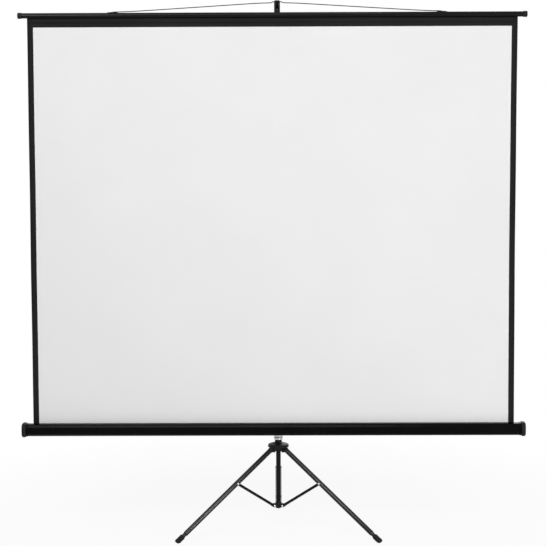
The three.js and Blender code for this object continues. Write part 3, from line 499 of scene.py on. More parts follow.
def screw_tree():
    """Cross-recess screw heads on points, each turned to its point's facing."""
    wiring, start = start_tree("screw_heads", [
        ("Head Radius", "NodeSocketFloat"),
        ("Head Height", "NodeSocketFloat"),
        ("Recess Width", "NodeSocketFloat"),
    ])
    new, join = wiring.node, wiring.join
    head = new("GeometryNodeMeshCone", {"Vertices": 20})
    join(start, "Head Height", head, "Depth")
    join(start, "Head Radius", head, "Radius Bottom")
    crown = new("ShaderNodeMath", {1: 0.72}, operation="MULTIPLY")
    join(start, "Head Radius", crown, 0)
    join(crown, 0, head, "Radius Top")
    cutters = new("GeometryNodeJoinGeometry")
    up = new("ShaderNodeCombineXYZ")
    join(start, "Head Height", up, "Z")
    for long_side, short_side in ("XY", "YX"):
        size = new("ShaderNodeCombineXYZ")
        join(start, "Head Radius", size, long_side)
        join(start, "Recess Width", size, short_side)
        join(start, "Head Height", size, "Z")
        bar = new("GeometryNodeMeshCube")
        join(size, 0, bar, "Size")
        lift = new("GeometryNodeTransform")
        join(up, 0, lift, "Translation")
        join(bar, "Mesh", lift, "Geometry")
        join(lift, "Geometry", cutters, 0)
    recess = new("GeometryNodeMeshBoolean", operation="DIFFERENCE")
    join(head, "Mesh", recess, "Mesh 1")
    join(cutters, 0, recess, "Mesh 2")
    facing = new("GeometryNodeInputNamedAttribute", {"Name": "facing"}, data_type="FLOAT_VECTOR")
    align = new("FunctionNodeAlignRotationToVector", axis="Z")
    join(facing, "Attribute", align, "Vector")
    points = new("GeometryNodeMeshToPoints")
    join(start, "Geometry", points, "Mesh")
    place = new("GeometryNodeInstanceOnPoints")
    join(points, 0, place, "Points")
    join(recess, "Mesh", place, "Instance")
    join(align, 0, place, "Rotation")
    return end_tree(wiring, start, place)


def wire_tree():
    """Round wire along a line of joined points."""
    wiring, start = start_tree("round_wire", [
        ("Wire Radius", "NodeSocketFloat"),
        ("Sides", "NodeSocketInt"),
    ])
    new, join = wiring.node, wiring.join
    line = new("GeometryNodeMeshToCurve")
    join(start, "Geometry", line, "Mesh")
    section = new("GeometryNodeCurvePrimitiveCircle")
    join(start, "Sides", section, "Resolution")
    join(start, "Wire Radius", section, "Radius")
    sweep = new("GeometryNodeCurveToMesh", {"Fill Caps": True})
    join(line, "Curve", sweep, "Curve")
    join(section, "Curve", sweep, "Profile Curve")
    return end_tree(wiring, start, sweep)


SCREW_HEADS = screw_tree()
ROUND_WIRE = wire_tree()


def grown(name, tree, points, edges, values, facing=None):
    """The plain mesh that a tree makes from a few points."""
    seed = bpy.data.meshes.new(name)
    seed.from_pydata([Vector(p) for p in points], edges, [])
    if facing:
        directions = seed.attributes.new("facing", "FLOAT_VECTOR", "POINT")
        for entry, direction in zip(directions.data, facing):
            entry.vector = direction
    piece = shown(name, seed)
    modifier = piece.modifiers.new(tree.name, "NODES")
    modifier.node_group = tree
    for socket in tree.interface.items_tree:
        if socket.in_out == "INPUT" and socket.name in values:
            modifier[socket.identifier] = values[socket.name]
    baked(piece)
    bm = bmesh.new()
    bm.from_mesh(piece.data)
    bmesh.ops.recalc_face_normals(bm, faces=bm.faces)
    bm.to_mesh(piece.data)
    bm.free()
    smooth_shaded(piece.data, 35)
    return piece


def screws(name, points, facing, radius, body, finish="zinc"):
    values = {
        "Head Radius": radius,
        "Head Height": 1.4 * MM,
        "Recess Width": radius * 0.24,
        "Finish": SLOT_FINISH[finish],
    }
    fitted(grown(name, SCREW_HEADS, points, [], values, facing), body, finish)


def side_screws(name, reach, z, body):
    """A screw on the mast's left and one on its right."""
    spots = [MAST @ Vector((sign * reach, 0, z)) for sign in (-1, 1)]
    screws(name, spots, [(-1, 0, 0), (1, 0, 0)], 3.2 * MM, body)


# Cloth: white front with a black border, black back

def screen_cloth():
    """The sheet in two lengths: one winds on to the roller, and its top edge stays with the bar."""
    low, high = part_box("screen_cloth")
    half = (high.x - low.x) / 2
    slot_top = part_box("case_shell")[1].z
    visible_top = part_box("bar_tube")[0].z
    side_border, top_border, travel = mm(29, 44.5, 1990)
    border_z = visible_top - top_border
    gathered = low.z + 14 * MM
    seam = gathered + travel + 2 * MM
    across, upwards = 48, 56  # cells of the sheet's grid
    columns = sorted({-half, half, -half + side_border, half - side_border}
                     | {-half + 2 * half * k / across for k in range(across + 1)})
    rows = sorted({low.z, high.z, slot_top, border_z, seam}
                  | {low.z + (high.z - low.z) * k / upwards for k in range(upwards + 1)})
    middle = (low.y + high.y) / 2
    thick = (high.y - low.y) / 2
    draw_in, curl, belly = mm(3.0, 2.4, 1.2)
    calm = 0.72  # share of the half width that doesn't curl

    def hang(x, z):
        """The sheet hangs slack between case and bar: drawn in at the right, with curling sides."""
        t = min(max((z - slot_top) / (visible_top - slot_top), 0), 1)
        slack = math.sin(math.pi * t)
        edge = max(0.0, (abs(x) / half - calm) / (1 - calm))
        inwards = draw_in * slack * (0.5 + x / half / 2) ** 3
        wave = curl * slack * edge * edge * math.sin(5 * math.pi * t + x)
        bulge = belly * slack * math.sin(2.3 * x + 1.1 * z)
        return x - inwards, middle + wave + bulge

    def inked(x, z):
        return abs(x) > half - side_border or z > border_z

    below = [z for z in rows if z <= seam]
    above = [z for z in rows if z >= seam]
    winding = cloth_length("cloth_sheet", columns, below, hang, thick, inked)
    hanging = cloth_length("cloth_top_strip", columns, above, hang, thick, inked)
    fitted(winding, "case", "cloth", "screen_cloth")
    fitted(hanging, "top_bar", "cloth")
    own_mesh(winding)


def cloth_length(name, columns, rows, hang, thick, inked):
    """A closed thin sheet over a grid, inked black where its front has the border."""
    bm = bmesh.new()
    layer = bm.loops.layers.uv.new("cloth")
    flat = {}

    def grid(offset):
        lines = []
        for z in rows:
            line = []
            for x in columns:
                px, py = hang(x, z)
                line.append(bm.verts.new((px, py + offset, z)))
                flat[line[-1]] = (x, z)
            lines.append(line)
        return lines

    def face(corners, index):
        made = bm.faces.new(corners)
        made.material_index = index
        made.smooth = True
        for loop in made.loops:
            loop[layer].uv = flat[loop.vert]

    white, black, backing = range(3)
    front, back = grid(-thick), grid(thick)
    last_row, last_column = len(rows) - 1, len(columns) - 1
    for r in range(last_row):
        for c in range(last_column):
            dark = inked((columns[c] + columns[c + 1]) / 2, (rows[r] + rows[r + 1]) / 2)
            corners = [(r, c), (r, c + 1), (r + 1, c + 1), (r + 1, c)]
            face([front[i][j] for i, j in corners], black if dark else white)
            face([back[i][j] for i, j in reversed(corners)], backing)
    for r in range(last_row):
        for c, order in ((0, 1), (last_column, -1)):
            ring = [front[r][c], front[r + 1][c], back[r + 1][c], back[r][c]]
            face(ring[::order], black)
    for c in range(last_column):
        for r, order in ((0, -1), (last_row, 1)):
            ring = [front[r][c], front[r][c + 1], back[r][c + 1], back[r][c]]
            face(ring[::order], black)
    mesh = bpy.data.meshes.new(name)
    bm.to_mesh(mesh)
    bm.free()
    for material in (WHITE_CLOTH, BORDER_INK, CLOTH_BACK):
        mesh.materials.append(material)
    return shown(name, mesh)


# Case and its caps

CASE_HALF, CASE_CORNER, CASE_WALL = mm(30, 18, 1.2)


def case_line():
    """The case's outline from one lip of the slot round to the other: a flat facet above its front
    and a small step below it."""
    front = [(-13, 30), (-20.2, 27.9), (-28, 14.5), (-28, -17.6), (-29.2, -19.3), (-28.9, -21),
             (-26.6, -22.9), (-20.2, -27.9), (-13, -30)]
    line = arc(12, 12, 18, 79, 90, 3)
    line += [tuple(p) for p in eased(front, 1.0, loop=False)]
    line += arc(12, -12, 18, 270, 360, 12) + arc(12, 12, 18, 0, 56, 8)
    return [mm(*p) for p in line]


def case_parts():
    low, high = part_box("case_shell")
    middle = (low + high) / 2
    place = moved(0, middle.y, middle.z)
    outer = case_line()
    shrink = 1 - CASE_WALL / CASE_HALF
    inner = [(y * shrink, z * shrink) for y, z in outer]
    shell = channel("case_body", outer, inner, low.x, high.x, place, PAINT)
    fitted(shell, "case", "black_paint", "case_shell")
    for side, sign in (("left", -1), ("right", 1)):
        case_cap(side, sign, place)


def case_cap(side, sign, place):
    """A cup with a thin painted sleeve, a groove, a flare and a rounded rim."""
    low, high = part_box(f"case_cap_{side}")
    length = high.x - low.x
    sleeve = 8.3 * MM
    start = low.x if sign > 0 else high.x
    # from the cap's mouth along the case, and out from the case's side, in mm
    sections = [(22.7, 0.3), (0.3, 0.3), (0.0, 0.6), (0.0, 0.9), (0.5, 1.3), (7.0, 1.3), (7.4, 0.8),
                (8.2, 0.8), (8.6, 1.7), (9.6, 3.0), (10.8, 4.1), (12.2, 4.8), (14, 5.2), (18, 5.28),
                (23.5, 5.1), (25.6, 4.5), (27.2, 3.3), (28.3, 1.5), (28.9, -1.0), (29.0, -5.0),
                (29.0, -11.0)]
    bm = bmesh.new()
    rings = []
    for along, out in (mm(*section) for section in sections):
        x = start + sign * min(along, length)
        points = rounded_square(CASE_HALF + out, CASE_CORNER + out, 8)
        rings.append([bm.verts.new(place @ Vector((x, y, z))) for y, z in points])
    bm.faces.new(rings[0])
    bm.faces.new(rings[-1])
    for first, second in zip(rings, rings[1:]):
        strip(bm, first, second)
    piece = finished(f"case_end_{side}", bm, PLASTIC, 45)
    piece.data.materials.append(PAINT)
    for face in piece.data.polygons:
        face.material_index = int(abs(face.center.x - start) < sleeve)
    fitted(piece, "case", "black_plastic", f"case_cap_{side}")
    x = start + sign * (length - 0.9 * MM)
    points = [(x, place.translation.y + dy, place.translation.z) for dy in mm(-16, 16)]
    screws(f"case_end_screws_{side}", points, [(sign, 0, 0)] * 2, 3 * MM, "case", "black_paint")


# Top bar with its caps, clips and wire bail

def top_bar():
    low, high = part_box("bar_tube")
    middle = centre("bar_cap_left")
    place = moved(0, middle.y, middle.z)
    radius, wall, half_slot = mm(13, 1.5, 1.5)
    gap = math.degrees(math.asin(half_slot / radius))
    outer, inner = (arc(0, 0, r, gap - 90, 270 - gap, 64) for r in (radius, radius - wall))
    fitted(channel("bar_body", outer, inner, low.x, high.x, place, TUBE_PAINT),
           "top_bar", "black_paint", "bar_tube")
    for side, sign in (("left", -1), ("right", 1)):
        bar_cap(side, sign, middle)
        bail_clip(side, middle)


def bar_cap(side, sign, middle):
    low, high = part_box(f"bar_cap_{side}")
    mouth = low.x if sign > 0 else high.x
    length = high.x - low.x
    place = moved(mouth, middle.y, middle.z) @ (Matrix() if sign > 0 else FLIP_X) @ Z_TO_X
    outside, inside, floor_thick = mm(14.7, 13.3, 3)
    profile = [
        (0, length - floor_thick), (inside, length - floor_thick), (inside, 0),
        (outside - 0.6 * MM, 0), (outside, 1.5 * MM), (outside, length - 2 * MM),
        (outside - 1.6 * MM, length - 0.4 * MM), (0, length),
    ]
    cap = turned(f"bar_end_{side}", profile, 1.6 * MM, place, PLASTIC, ease=4)
    fitted(cap, "top_bar", "black_plastic", f"bar_cap_{side}")


def bail_clip(side, middle):
    """A saddle that hugs the bar and holds one end of the bail in its rolled top."""
    low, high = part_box(f"bail_clip_{side}")
    place = moved((low.x + high.x) / 2, middle.y, middle.z) @ turned_about_z(90)
    half = (high.y - low.y) / 2
    ridge = half * 0.55
    top = high.z - middle.z
    seat_radius, shoulder, crest = mm(13.3, 6, 12.5)
    sweep = math.degrees(math.asin(half / seat_radius))
    outline = arc(0, 0, seat_radius, 90 + sweep, 90 - sweep, 12) + eased([
        (half, top - shoulder), (ridge, top), (-ridge, top), (-half, top - shoulder),
    ], 2 * MM, 4)
    saddle = prism(f"bail_saddle_{side}", outline, high.x - low.x, place, PLASTIC, 0.8 * MM)
    outer, inner = (low.x, high.x) if side == "left" else (high.x, low.x)
    crest += middle.z
    for vert in saddle.data.vertices:
        share = min(max((vert.co.x - outer) / (inner - outer), 0), 1)
        if vert.co.z > crest:
            height = 0.25 + 0.55 * math.sin(share * math.pi / 2)
            vert.co.z = crest + (vert.co.z - crest) * height
    fitted(saddle, "top_bar", "black_plastic", f"bail_clip_{side}")


def wire_bail():
    """The bail's wire, leaning back from its hinge on the bar to the hook."""
    hinge = next(j for j in frame["joints"] if j["name"] == "bail_swing")["pos_m"]
    seat_y = MAST_Y - 38 * MM
    rise = 61
    lean = math.asin((seat_y - hinge[1]) / (rise * MM))
    half = [(800, 0), (790, 0), (780, 0), (704, 3.5), (380, 29), (100, 51.5), (48, 54), (29, 55.2),
            (19.5, rise), (9, rise)]
    line = half + [(-x, r) for x, r in reversed(half)]
    points = [
        Vector(hinge) + Vector((x, r * math.sin(lean), r * math.cos(lean))) * MM for x, r in line
    ]
    path = smooth_line(points, 10)
    edges = [(i, i + 1) for i in range(len(path) - 1)]
    values = {"Wire Radius": 2.2 * MM, "Sides": 14, "Finish": WIRE}
    fitted(grown("bail", ROUND_WIRE, path, edges, values), "bail", "wire", "bail_wire")


# Mast: post, rod, clamp, hook

def mast_tube(name, outer, inner, body, node):
    """A painted tube on the mast's axis, as long as the node that it stands for."""
    low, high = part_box(node)
    profile = [(inner, low.z), (outer, low.z), (outer, high.z), (inner, high.z)]
    fitted(turned(name, profile, 0.4 * MM, MAST, TUBE_PAINT), body, "black_paint", node)


def knob(name, node, body, axis_z):
    """A lobed hand knob on a stud, pointing away from the viewer."""
    low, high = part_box(node)
    place = MAST @ moved(0, 0, axis_z)
    depth, stud_radius, clear_of_post = mm(14, 4, 22.3)
    head_start = high.y - MAST_Y - depth
    points, mean_radius, lobe = 120, 16, 2
    outline = []
    for k in range(points):
        a = 2 * math.pi * k / points
        r = (mean_radius + lobe * math.cos(5 * a)) * MM
        outline.append((r * math.cos(a), r * math.sin(a)))
    head = prism(name, outline, depth, place @ moved(0, head_start + depth / 2, 0), PLASTIC,
                 2.2 * MM)
    tip = max(low.y - MAST_Y, clear_of_post)
    length = head_start - tip + MM
    stud = turned(f"{name}_stud", [(0, 0), (stud_radius, 0), (stud_radius, length), (0, length)],
                  0.5 * MM, place @ moved(0, tip, 0) @ Z_TO_Y, ZINC, COARSE)
    fitted(head, body, "black_plastic", node)
    fitted(stud, body, "zinc")
    disc = [mm(0, 0), mm(8.5, 0), mm(8.5, 0.9), mm(7, 1.5), mm(0, 1.9)]
    sunk = high.y - MAST_Y - 1.8 * MM
    cap = turned(f"{name}_cap", disc, 0.4 * MM, place @ moved(0, sunk, 0) @ Z_TO_Y, PLASTIC, COARSE)
    fitted(cap, body, "black_plastic")


def knob_boss(name, reach, axis_z):
    """The round boss that a knob's stud runs in, reaching so many mm behind the mast's axis."""
    profile = [mm(0, 15), mm(9, 15), mm(9, reach - 2), mm(7.6, reach), mm(4.3, reach), mm(4.3, 22),
               mm(0, 22)]
    return turned(name, profile, 0.8 * MM, MAST @ moved(0, 0, axis_z) @ Z_TO_Y, PLASTIC, COARSE)


def mast_parts():
    mast_tube("post", *mm(14, 12.5), "mast", "post_tube")
    mast_tube("rod", *mm(11, 9.8), "rod", "extension_rod")
    rod_clamp()
    hook()


def rod_clamp():
    low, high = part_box("rod_clamp")
    radius = 20.9 * MM
    rest = POST_TOP + 0.3 * MM
    clamp = turned("clamp", [
        (POST_FIT, low.z), (18.5 * MM, low.z), (19.5 * MM, low.z + 4 * MM),
        (radius, low.z + 9 * MM), (radius, high.z - 12 * MM), (17.5 * MM, high.z - 4 * MM),
        (16 * MM, high.z), (ROD_FIT, high.z), (ROD_FIT, rest), (POST_FIT, rest),
    ], 1.6 * MM, MAST, PLASTIC)
    knob_z = POST_TOP + 17 * MM
    boss = knob_boss("clamp_boss", 35, knob_z)
    fitted(united(clamp, boss), "mast", "black_plastic", "rod_clamp")
    side_screws("clamp_screws", 20.5 * MM, POST_TOP - 14 * MM, "mast")
    knob("rod_hand_knob", "rod_knob", "rod_knob", knob_z)


def hook():
    """A sleeve with a groove on the rod's top, and an arm with a raised nose in front of it."""
    low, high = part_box("hook_head")
    radius = 14.9 * MM
    rod_end = high.z - 7.7 * MM
    sleeve = turned("hook_sleeve", [
        (0, rod_end), (ROD_FIT, rod_end), (ROD_FIT, low.z), (radius - 0.6 * MM, low.z),
        (radius, low.z + 1.5 * MM), (radius, high.z - 14 * MM),
        (radius - 0.8 * MM, high.z - 13 * MM), (radius, high.z - 12 * MM),
        (radius, high.z - 3 * MM), (radius - 3 * MM, high.z), (0, high.z),
    ], 0.9 * MM, MAST, PLASTIC)
    fitted(sleeve, "rod", "black_plastic", "hook_head")
    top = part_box("hook_arm")[1].z
    root, ramp_foot, tip, nose = mm(15.2, 42.2, 50, 3.4)
    seat = top - nose
    outline = [
        (root, seat - 26 * MM), (root + 7 * MM, seat - 24 * MM), (tip - 10 * MM, seat - 11 * MM),
        (tip, seat - 7 * MM), (tip, seat + nose - MM), (tip - MM, seat + nose),
        (ramp_foot + 6 * MM, seat + nose), (ramp_foot, seat), (root, seat),
    ]
    arm = prism("hook_nose", outline, 18 * MM, MAST @ turned_about_z(-90), TUBE_PAINT, 1.0 * MM)
    fitted(arm, "rod", "black_paint", "hook_arm")
    spot = MAST @ Vector((0, 14.6 * MM, seat - 16 * MM))
    screws("hook_screw", [spot], [(0, 1, 0)], 3 * MM, "rod")


# Carrier and swivel

def bright_ring():
    """A nickel ring with a groove round its middle, coloured with darker nickel there as painted shade."""
    low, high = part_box("carrier_ring")
    height = high.z - low.z
    radius, band, groove_edge, chamfer = mm(23.3, 8.4, 9.2, 1.2)
    groove = radius - 1.8 * MM
    ring = turned("bright_ring", [
        (POST_FIT, 0), (radius - 0.8 * MM, 0), (radius, chamfer), (radius, band),
        (groove, groove_edge), (groove, height - groove_edge), (radius, height - band),
        (radius, height - chamfer), (radius - 0.8 * MM, height), (POST_FIT, height),
    ], 0.5 * MM, MAST @ moved(0, 0, low.z), NICKEL)
    ring.data.materials.append(GROOVE_SHADE_NICKEL)
    middle_z = low.z + height / 2
    # faces sunk in the groove take the darker nickel, as painted shade
    for face in ring.data.polygons:
        out = face.center - MAST.translation
        sunk = 16 * MM < math.hypot(out.x, out.y) < radius - 0.9 * MM
        if sunk and abs(out.z - middle_z) < 4.5 * MM:
            face.material_index = 1
    fitted(ring, "carrier", "nickel", "carrier_ring")


def carrier_parts():
    bright_ring()
    low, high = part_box("carrier_sleeve")
    swivel_z = centre("swivel_bolt").z
    knob_z = swivel_z + 22 * MM
    radius = 20 * MM
    sleeve = turned("carrier", [
        (POST_FIT, low.z), (18.8 * MM, low.z), (radius, low.z + 2 * MM),
        (radius, high.z - 4 * MM), (17.5 * MM, high.z), (POST_FIT, high.z),
    ], 1.2 * MM, MAST, PLASTIC)
    block = eased([mm(-22, -30), mm(22, -30), mm(22, 30), mm(-22, 30)], 9 * MM, 6)
    block_y, block_depth = mm(-30.2, 27.5)
    nose = prism("carrier_nose", block, block_depth, MAST @ moved(0, block_y, swivel_z), PLASTIC,
                 2 * MM)
    boss = knob_boss("carrier_boss", 34, knob_z)
    fitted(united(sleeve, nose, boss), "carrier", "black_plastic", "carrier_sleeve")
    side_screws("carrier_screws", 19.6 * MM, swivel_z - 38 * MM, "carrier")
    knob("carrier_hand_knob", "carrier_knob", "carrier_knob", knob_z)

    low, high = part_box("swivel_plate")
    thick = high.y - low.y
    radius, bolt_fit = mm(32, 8.3)
    bore_floor = thick - 12 * MM
    plate = turned("swivel_disc", [
        (0, 0), (radius, 0), (radius, thick - 3 * MM), (radius - 3 * MM, thick), (bolt_fit, thick),
        (bolt_fit, bore_floor), (0, bore_floor),
    ], 0.9 * MM, MAST @ moved(0, low.y - MAST_Y, swivel_z) @ Z_TO_Y, PAINT)
    fitted(plate, "case", "black_paint", "swivel_plate")


# Tripod: hub, skirt, legs, struts, spreader

STRUT_PIN = mm(3, 30.6, 5.5, 1.8)  # a rivet's radius, width, head radius and head height
HUB_PIN = mm(3, 18.6, 4.2, 2)


def rivet(name, sizes, place, finish=ZINC):
    """A pin along y with a low domed head on each end."""
    radius, width, head_radius, head = sizes
    reach = width / 2 + 0.3 * MM
    side = [(radius, reach), (head_radius, reach), (head_radius * 0.96, reach + head * 0.45),
            (head_radius * 0.7, reach + head * 0.85), (0, reach + head)]
    profile = [(r, -h) for r, h in reversed(side)] + side
    return turned(name, profile, 0.3 * MM, place @ Z_TO_Y, finish, 32, ease=2)


def hub_parts():
    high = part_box("leg_hub")[1]
    foot = PIVOT_Z + 5 * MM
    radius = 17.3 * MM
    barrel = turned("hub", [
        (POST_FIT, foot), (16.6 * MM, foot), (radius, foot + 1.5 * MM),
        (radius, high.z - 1.2 * MM), (16.5 * MM, high.z), (POST_FIT, high.z),
    ], 0.7 * MM, MAST, PLASTIC)
    ear = [mm(13.8, 5)] + arc(PIVOT_RADIUS, 0, 5.5 * MM, -135, 85, 18) + [mm(24, 28), mm(13.8, 28)]
    ears = []
    for side in SIDES:
        for y in mm(-7.8, 7.8):
            place = leg_plane(side) @ moved(0, y, PIVOT_Z)
            ears.append(prism("ear", ear, 3 * MM, place, PLASTIC, 0.6 * MM))
    fitted(united(barrel, *ears), "mast", "black_plastic", "leg_hub")
    skirt()


def skirt():
    """A thin cup over the leg heads, with a rounded shoulder and a bead at its mouth."""
    low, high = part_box("hub_skirt")
    outer, neck, shoulder, wall = mm(52.5, 17.6, 7, 2)
    bend = low.z + 7.5 * MM
    lip = 0.3 * MM
    over = arc(outer - shoulder, bend, shoulder, 0, 72, 14)
    under = arc(outer - shoulder, bend, shoulder - wall, 0, 72, 10)
    profile = [(outer - lip, low.z), (outer, low.z + 0.8 * MM)] + over
    profile += [(neck + 0.8 * MM, high.z - 0.2 * MM), (neck, high.z - 1.2 * MM),
                (neck, high.z - wall * 1.1)]
    profile += under[::-1] + [(outer - wall + lip, low.z)]
    fitted(lathe("hub_cover", profile, MAST, PLASTIC, 96, 30), "mast", "black_plastic", "hub_skirt")


def leg(side):
    place = along_leg(side)
    body = f"leg_{side}"
    radius, wall, neck, start = mm(12.5, 1.2, 9.8, 12.3)
    boot_start = LEG_LENGTH - 46 * MM
    end = boot_start + 29.7 * MM
    shoulder = end - 46 * MM
    drawn_in = shoulder + 6 * MM
    tube = turned(f"leg_tube_{side}", [
        (radius - wall, start), (radius, start), (radius, shoulder), (neck, drawn_in),
        (neck, end), (neck - wall, end), (neck - wall, drawn_in), (radius - wall, shoulder),
    ], 2.0 * MM, place @ Z_TO_X, LEG_PAINT, ease=4)
    fitted(tube, body, "black_paint", f"leg_{side}_tube")

    outline = [mm(-8, 9), mm(-5.2, -15)] + arc(0, -PIVOT_OFFSET, 5.2 * MM, 190, 350, 14)
    outline += [mm(5.2, -15), mm(12, -12.1), mm(12, 12.3), mm(-5, 12.3)]
    head = prism(f"leg_head_{side}", outline, 12 * MM, place, PLASTIC, 1.4 * MM)
    plug = turned("plug", [mm(0, 10.5), mm(11, 10.5), mm(11, 30), mm(0, 30)],
                  0.8 * MM, place @ Z_TO_X, PLASTIC)
    fitted(united(head, plug), body, "black_plastic", f"leg_{side}_head")

    rubber_boot(side, place, body, neck, boot_start)
    pin = place @ moved(STRUT_POINT, 0, 0)
    fitted(rivet(f"leg_rivet_{side}", STRUT_PIN, pin), body, "zinc", f"leg_{side}_rivet")


def rubber_boot(side, place, body, neck, start):
    """A ribbed rubber boot, cut flat on the floor."""
    r = 13.8 * MM
    groove = r - 0.9 * MM
    bore = neck + 0.3 * MM
    bore_end = start + 30 * MM
    profile = [
        (0, bore_end), (bore, bore_end), (bore, start), (neck + 1.4 * MM, start),
        (neck + 2.2 * MM, start + 1.2 * MM), (r - 0.6 * MM, start + 5 * MM),
    ]
    for k in range(4):
        z = start + (9 + 5 * k) * MM
        profile += [(r, z - 1.6 * MM), (r, z + 0.8 * MM), (groove, z + 1.4 * MM),
                    (groove, z + 2.6 * MM)]
    profile += [(r, bore_end), (r, LEG_LENGTH - 4 * MM), (r - 2.5 * MM, LEG_LENGTH - 0.6 * MM),
                (0, LEG_LENGTH)]
    boot = turned(f"boot_{side}", profile, 0.7 * MM, place @ Z_TO_X, RUBBER, 48, ease=2)
    bm = bmesh.new()
    bm.from_mesh(boot.data)
    whole = list(bm.verts) + list(bm.edges) + list(bm.faces)
    bmesh.ops.bisect_plane(bm, geom=whole, plane_co=(0, 0, 0), plane_no=(0, 0, -1),
                           clear_outer=True)
    bmesh.ops.holes_fill(bm, edges=[e for e in bm.edges if e.is_boundary], sides=0)
    bmesh.ops.recalc_face_normals(bm, faces=bm.faces)
    bm.to_mesh(boot.data)
    bm.free()
    smooth_shaded(boot.data)
    fitted(boot, body, "rubber", f"leg_{side}_boot")


def struts(side):
    place = along_strut(side)
    half_width, thick, apart = mm(6, 2.5, 14.05)
    outline = arc(0, 0, half_width, 90, 270, 16) + arc(STRUT_LENGTH, 0, half_width, -90, 90, 16)
    for word, y in (("near", -apart), ("far", apart)):
        bar = prism(f"strut_bar_{side}_{word}", outline, thick, place @ moved(0, y, 0), TUBE_PAINT,
                    0.6 * MM)
        fitted(bar, f"strut_{side}", "black_paint", f"strut_{side}_{word}")


def spreader():
    mast_tube("spreader_post", *mm(12, 10.8), "spreader", "spreader_tube")
    low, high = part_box("spreader_collar")
    r = 17 * MM
    barrel = turned("collar", [
        (SPREADER_FIT, low.z), (r - 1.6 * MM, low.z), (r, low.z + 3 * MM), (r, high.z - 7 * MM),
        (r - 2 * MM, high.z - 3 * MM), (r - 3 * MM, high.z), (SPREADER_FIT, high.z),
    ], 1.2 * MM, MAST, PLASTIC)
    lug = [mm(12.8, -8), mm(30, -8)] + arc(PIVOT_RADIUS, 0, 8 * MM, -75, 75, 12)
    lug += [mm(30, 8), mm(12.8, 8)]
    lugs = [
        prism("lug", lug, 25 * MM, leg_plane(side) @ moved(0, 0, COLLAR_Z), PLASTIC, 1.0 * MM)
        for side in SIDES
    ]
    fitted(united(barrel, *lugs), "spreader", "black_plastic", "spreader_collar")
    low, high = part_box("spreader_plug")
    plug, rim = mm(10.5, 12)
    rim_top = low.z + 2.7 * MM
    foot = turned("spreader_foot", [
        (0, low.z), (plug, low.z), (rim, low.z + 1.2 * MM), (rim, rim_top), (plug, rim_top),
        (plug, high.z), (0, high.z),
    ], 0.8 * MM, MAST, PLASTIC, COARSE)
    fitted(foot, "spreader", "black_plastic", "spreader_plug")
    for side in SIDES:
        pin = leg_plane(side) @ moved(PIVOT_RADIUS, 0, COLLAR_Z)
        fitted(rivet(f"collar_rivet_{side}", STRUT_PIN, pin), "spreader", "zinc",
               f"collar_pin_{side}")
        pin = leg_plane(side) @ moved(PIVOT_RADIUS, 0, PIVOT_Z)
        fitted(rivet(f"hub_rivet_{side}", HUB_PIN, pin, TUBE_PAINT), "mast", "black_paint",
               f"hub_pin_{side}")


# Stage: floor, light and camera

PURE_WHITE = {"Color": (1, 1, 1, 1), "Strength": 1.0}


def seen_as_background(wiring):
    """1 for rays that should see plain white: from the camera, and in shine and glass."""
    path = wiring.node("ShaderNodeLightPath")
    either = wiring.node("ShaderNodeMath", operation="MAXIMUM")
    wiring.join(path, "Is Camera Ray", either, 0)
    wiring.join(path, "Is Glossy Ray", either, 1)
    any_of_them = wiring.node("ShaderNodeMath", operation="MAXIMUM")
    wiring.join(either, 0, any_of_them, 0)
    wiring.join(path, "Is Transmission Ray", any_of_them, 1)
    return any_of_them


def mixed(wiring, share, plain, white, end):
    """The tree's result: plain, with a share of white."""
    mix = wiring.node("ShaderNodeMixShader")
    for socket, source in enumerate((share, plain, white)):
        wiring.join(source, 0, mix, socket)
    wiring.join(mix, 0, wiring.tree.nodes[end], "Surface")


def floor():
    """A pale round floor that keeps a faint shadow near the tripod and is white further out."""
    bm = bmesh.new()
    bmesh.ops.create_circle(bm, cap_ends=True, segments=96, radius=30)
    mesh = bpy.data.meshes.new("floor")
    bm.to_mesh(mesh)
    bm.free()
    lit, viewed = (0.75, 0.75, 0.75), (0.92, 0.92, 0.92)
    pale = Finish("pale_floor", lit, 0.9)
    background = seen_as_background(pale)
    tint = pale.node("ShaderNodeMix", {"A": (*lit, 1), "B": (*viewed, 1)}, data_type="RGBA")
    pale.join(background, 0, tint, "Factor")
    pale.join(tint, "Result", pale.shader, "Base Color")
    from_middle = pale.node("ShaderNodeVectorMath", operation="LENGTH")
    pale.join(pale.node("ShaderNodeTexCoord"), "Object", from_middle, 0)
    fade = pale.node("ShaderNodeMapRange", {
        "From Min": 0.9, "From Max": 2.4, "To Min": 0.90, "To Max": 1.0,
    })
    pale.join(from_middle, "Value", fade, "Value")
    share = pale.node("ShaderNodeMath", operation="MULTIPLY")
    pale.join(fade, "Result", share, 0)
    pale.join(background, 0, share, 1)
    glow = pale.node("ShaderNodeEmission", PURE_WHITE)
    mixed(pale, share, pale.shader, glow, "Material Output")
    mesh.materials.append(pale.material)
    shown("floor", mesh)


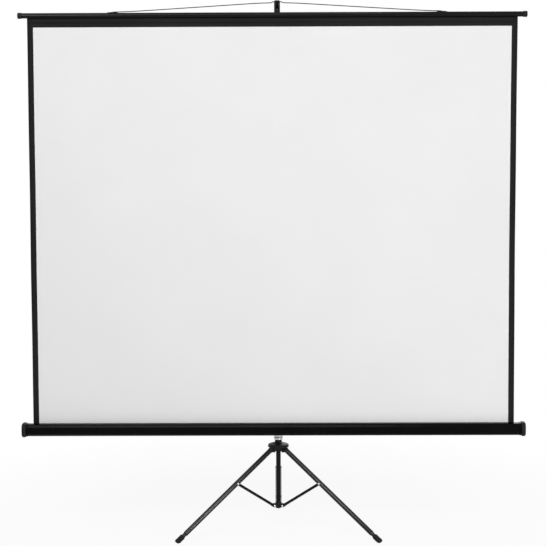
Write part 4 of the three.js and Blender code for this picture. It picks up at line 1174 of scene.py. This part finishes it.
def lights():
    world = bpy.data.worlds.new("studio")
    bpy.context.scene.world = world
    world.use_nodes = True
    sky = Wiring(world.node_tree)
    soft = sky.tree.nodes["Background"]
    set_inputs(soft, {"Color": (1, 1, 1, 1), "Strength": 0.22})
    white = sky.node("ShaderNodeBackground", PURE_WHITE)
    mixed(sky, seen_as_background(sky), soft, white, "World Output")

    def softbox(name, place, aim, size, watts):
        lamp = bpy.data.lights.new(name, "AREA")
        lamp.shape = "RECTANGLE"
        lamp.size, lamp.size_y = size
        lamp.energy = watts
        hung = shown(name, lamp)
        hung.location = place
        hung.rotation_euler = (Vector(aim) - Vector(place)).to_track_quat("-Z", "Y").to_euler()

    softbox("key", (-2.25, -5.5, 3.4), (-0.6, -0.2, 2.2), size=(1.5, 0.9), watts=74)
    softbox("fill", (3.4, -5.4, 1.3), (0.2, -0.2, 0.6), size=(1.3, 1.3), watts=138)
    softbox("overhead", (-0.8, -4.1, 4.9), (-0.2, -0.2, 0.6), size=(3.8, 0.8), watts=80)
    softbox("back", (1.6, 4.6, 3.2), (0, 0, 1.3), size=(2.6, 2.6), watts=70)


def camera():
    """The photograph's view, fitted to the straight edges of the screen and case."""
    image_width, focal_pixels = 546, 1213.2
    sensor = 36.0
    aside, height, distance = 0.0258, 1.690, 6.0  # metres, the distance from the cloth
    yaw, pitch, roll = (math.radians(a) for a in (-0.247, -3.747, -0.188))
    forward = Vector((
        math.sin(yaw) * math.cos(pitch), math.cos(yaw) * math.cos(pitch), math.sin(pitch),
    ))
    right = forward.cross(Vector((0, 0, 1))).normalized()
    up = right.cross(forward)
    right, up = (
        math.cos(roll) * right + math.sin(roll) * up,
        math.cos(roll) * up - math.sin(roll) * right,
    )
    data = bpy.data.cameras.new("photo_view")
    data.sensor_width = sensor
    data.lens = sensor * focal_pixels / image_width
    data.clip_end = 200
    eye = shown("photo_view", data)
    turn = Matrix((right, up, -forward)).transposed().to_4x4()
    eye.matrix_world = moved(aside, centre("screen_cloth").y - distance, height) @ turn
    bpy.context.scene.camera = eye


bpy.context.scene.view_settings.view_transform = "Standard"
camera()
lights()
floor()
screen_cloth()
case_parts()
top_bar()
wire_bail()
mast_parts()
carrier_parts()
hub_parts()
for name in SIDES:
    leg(name)
    struts(name)
spreader()
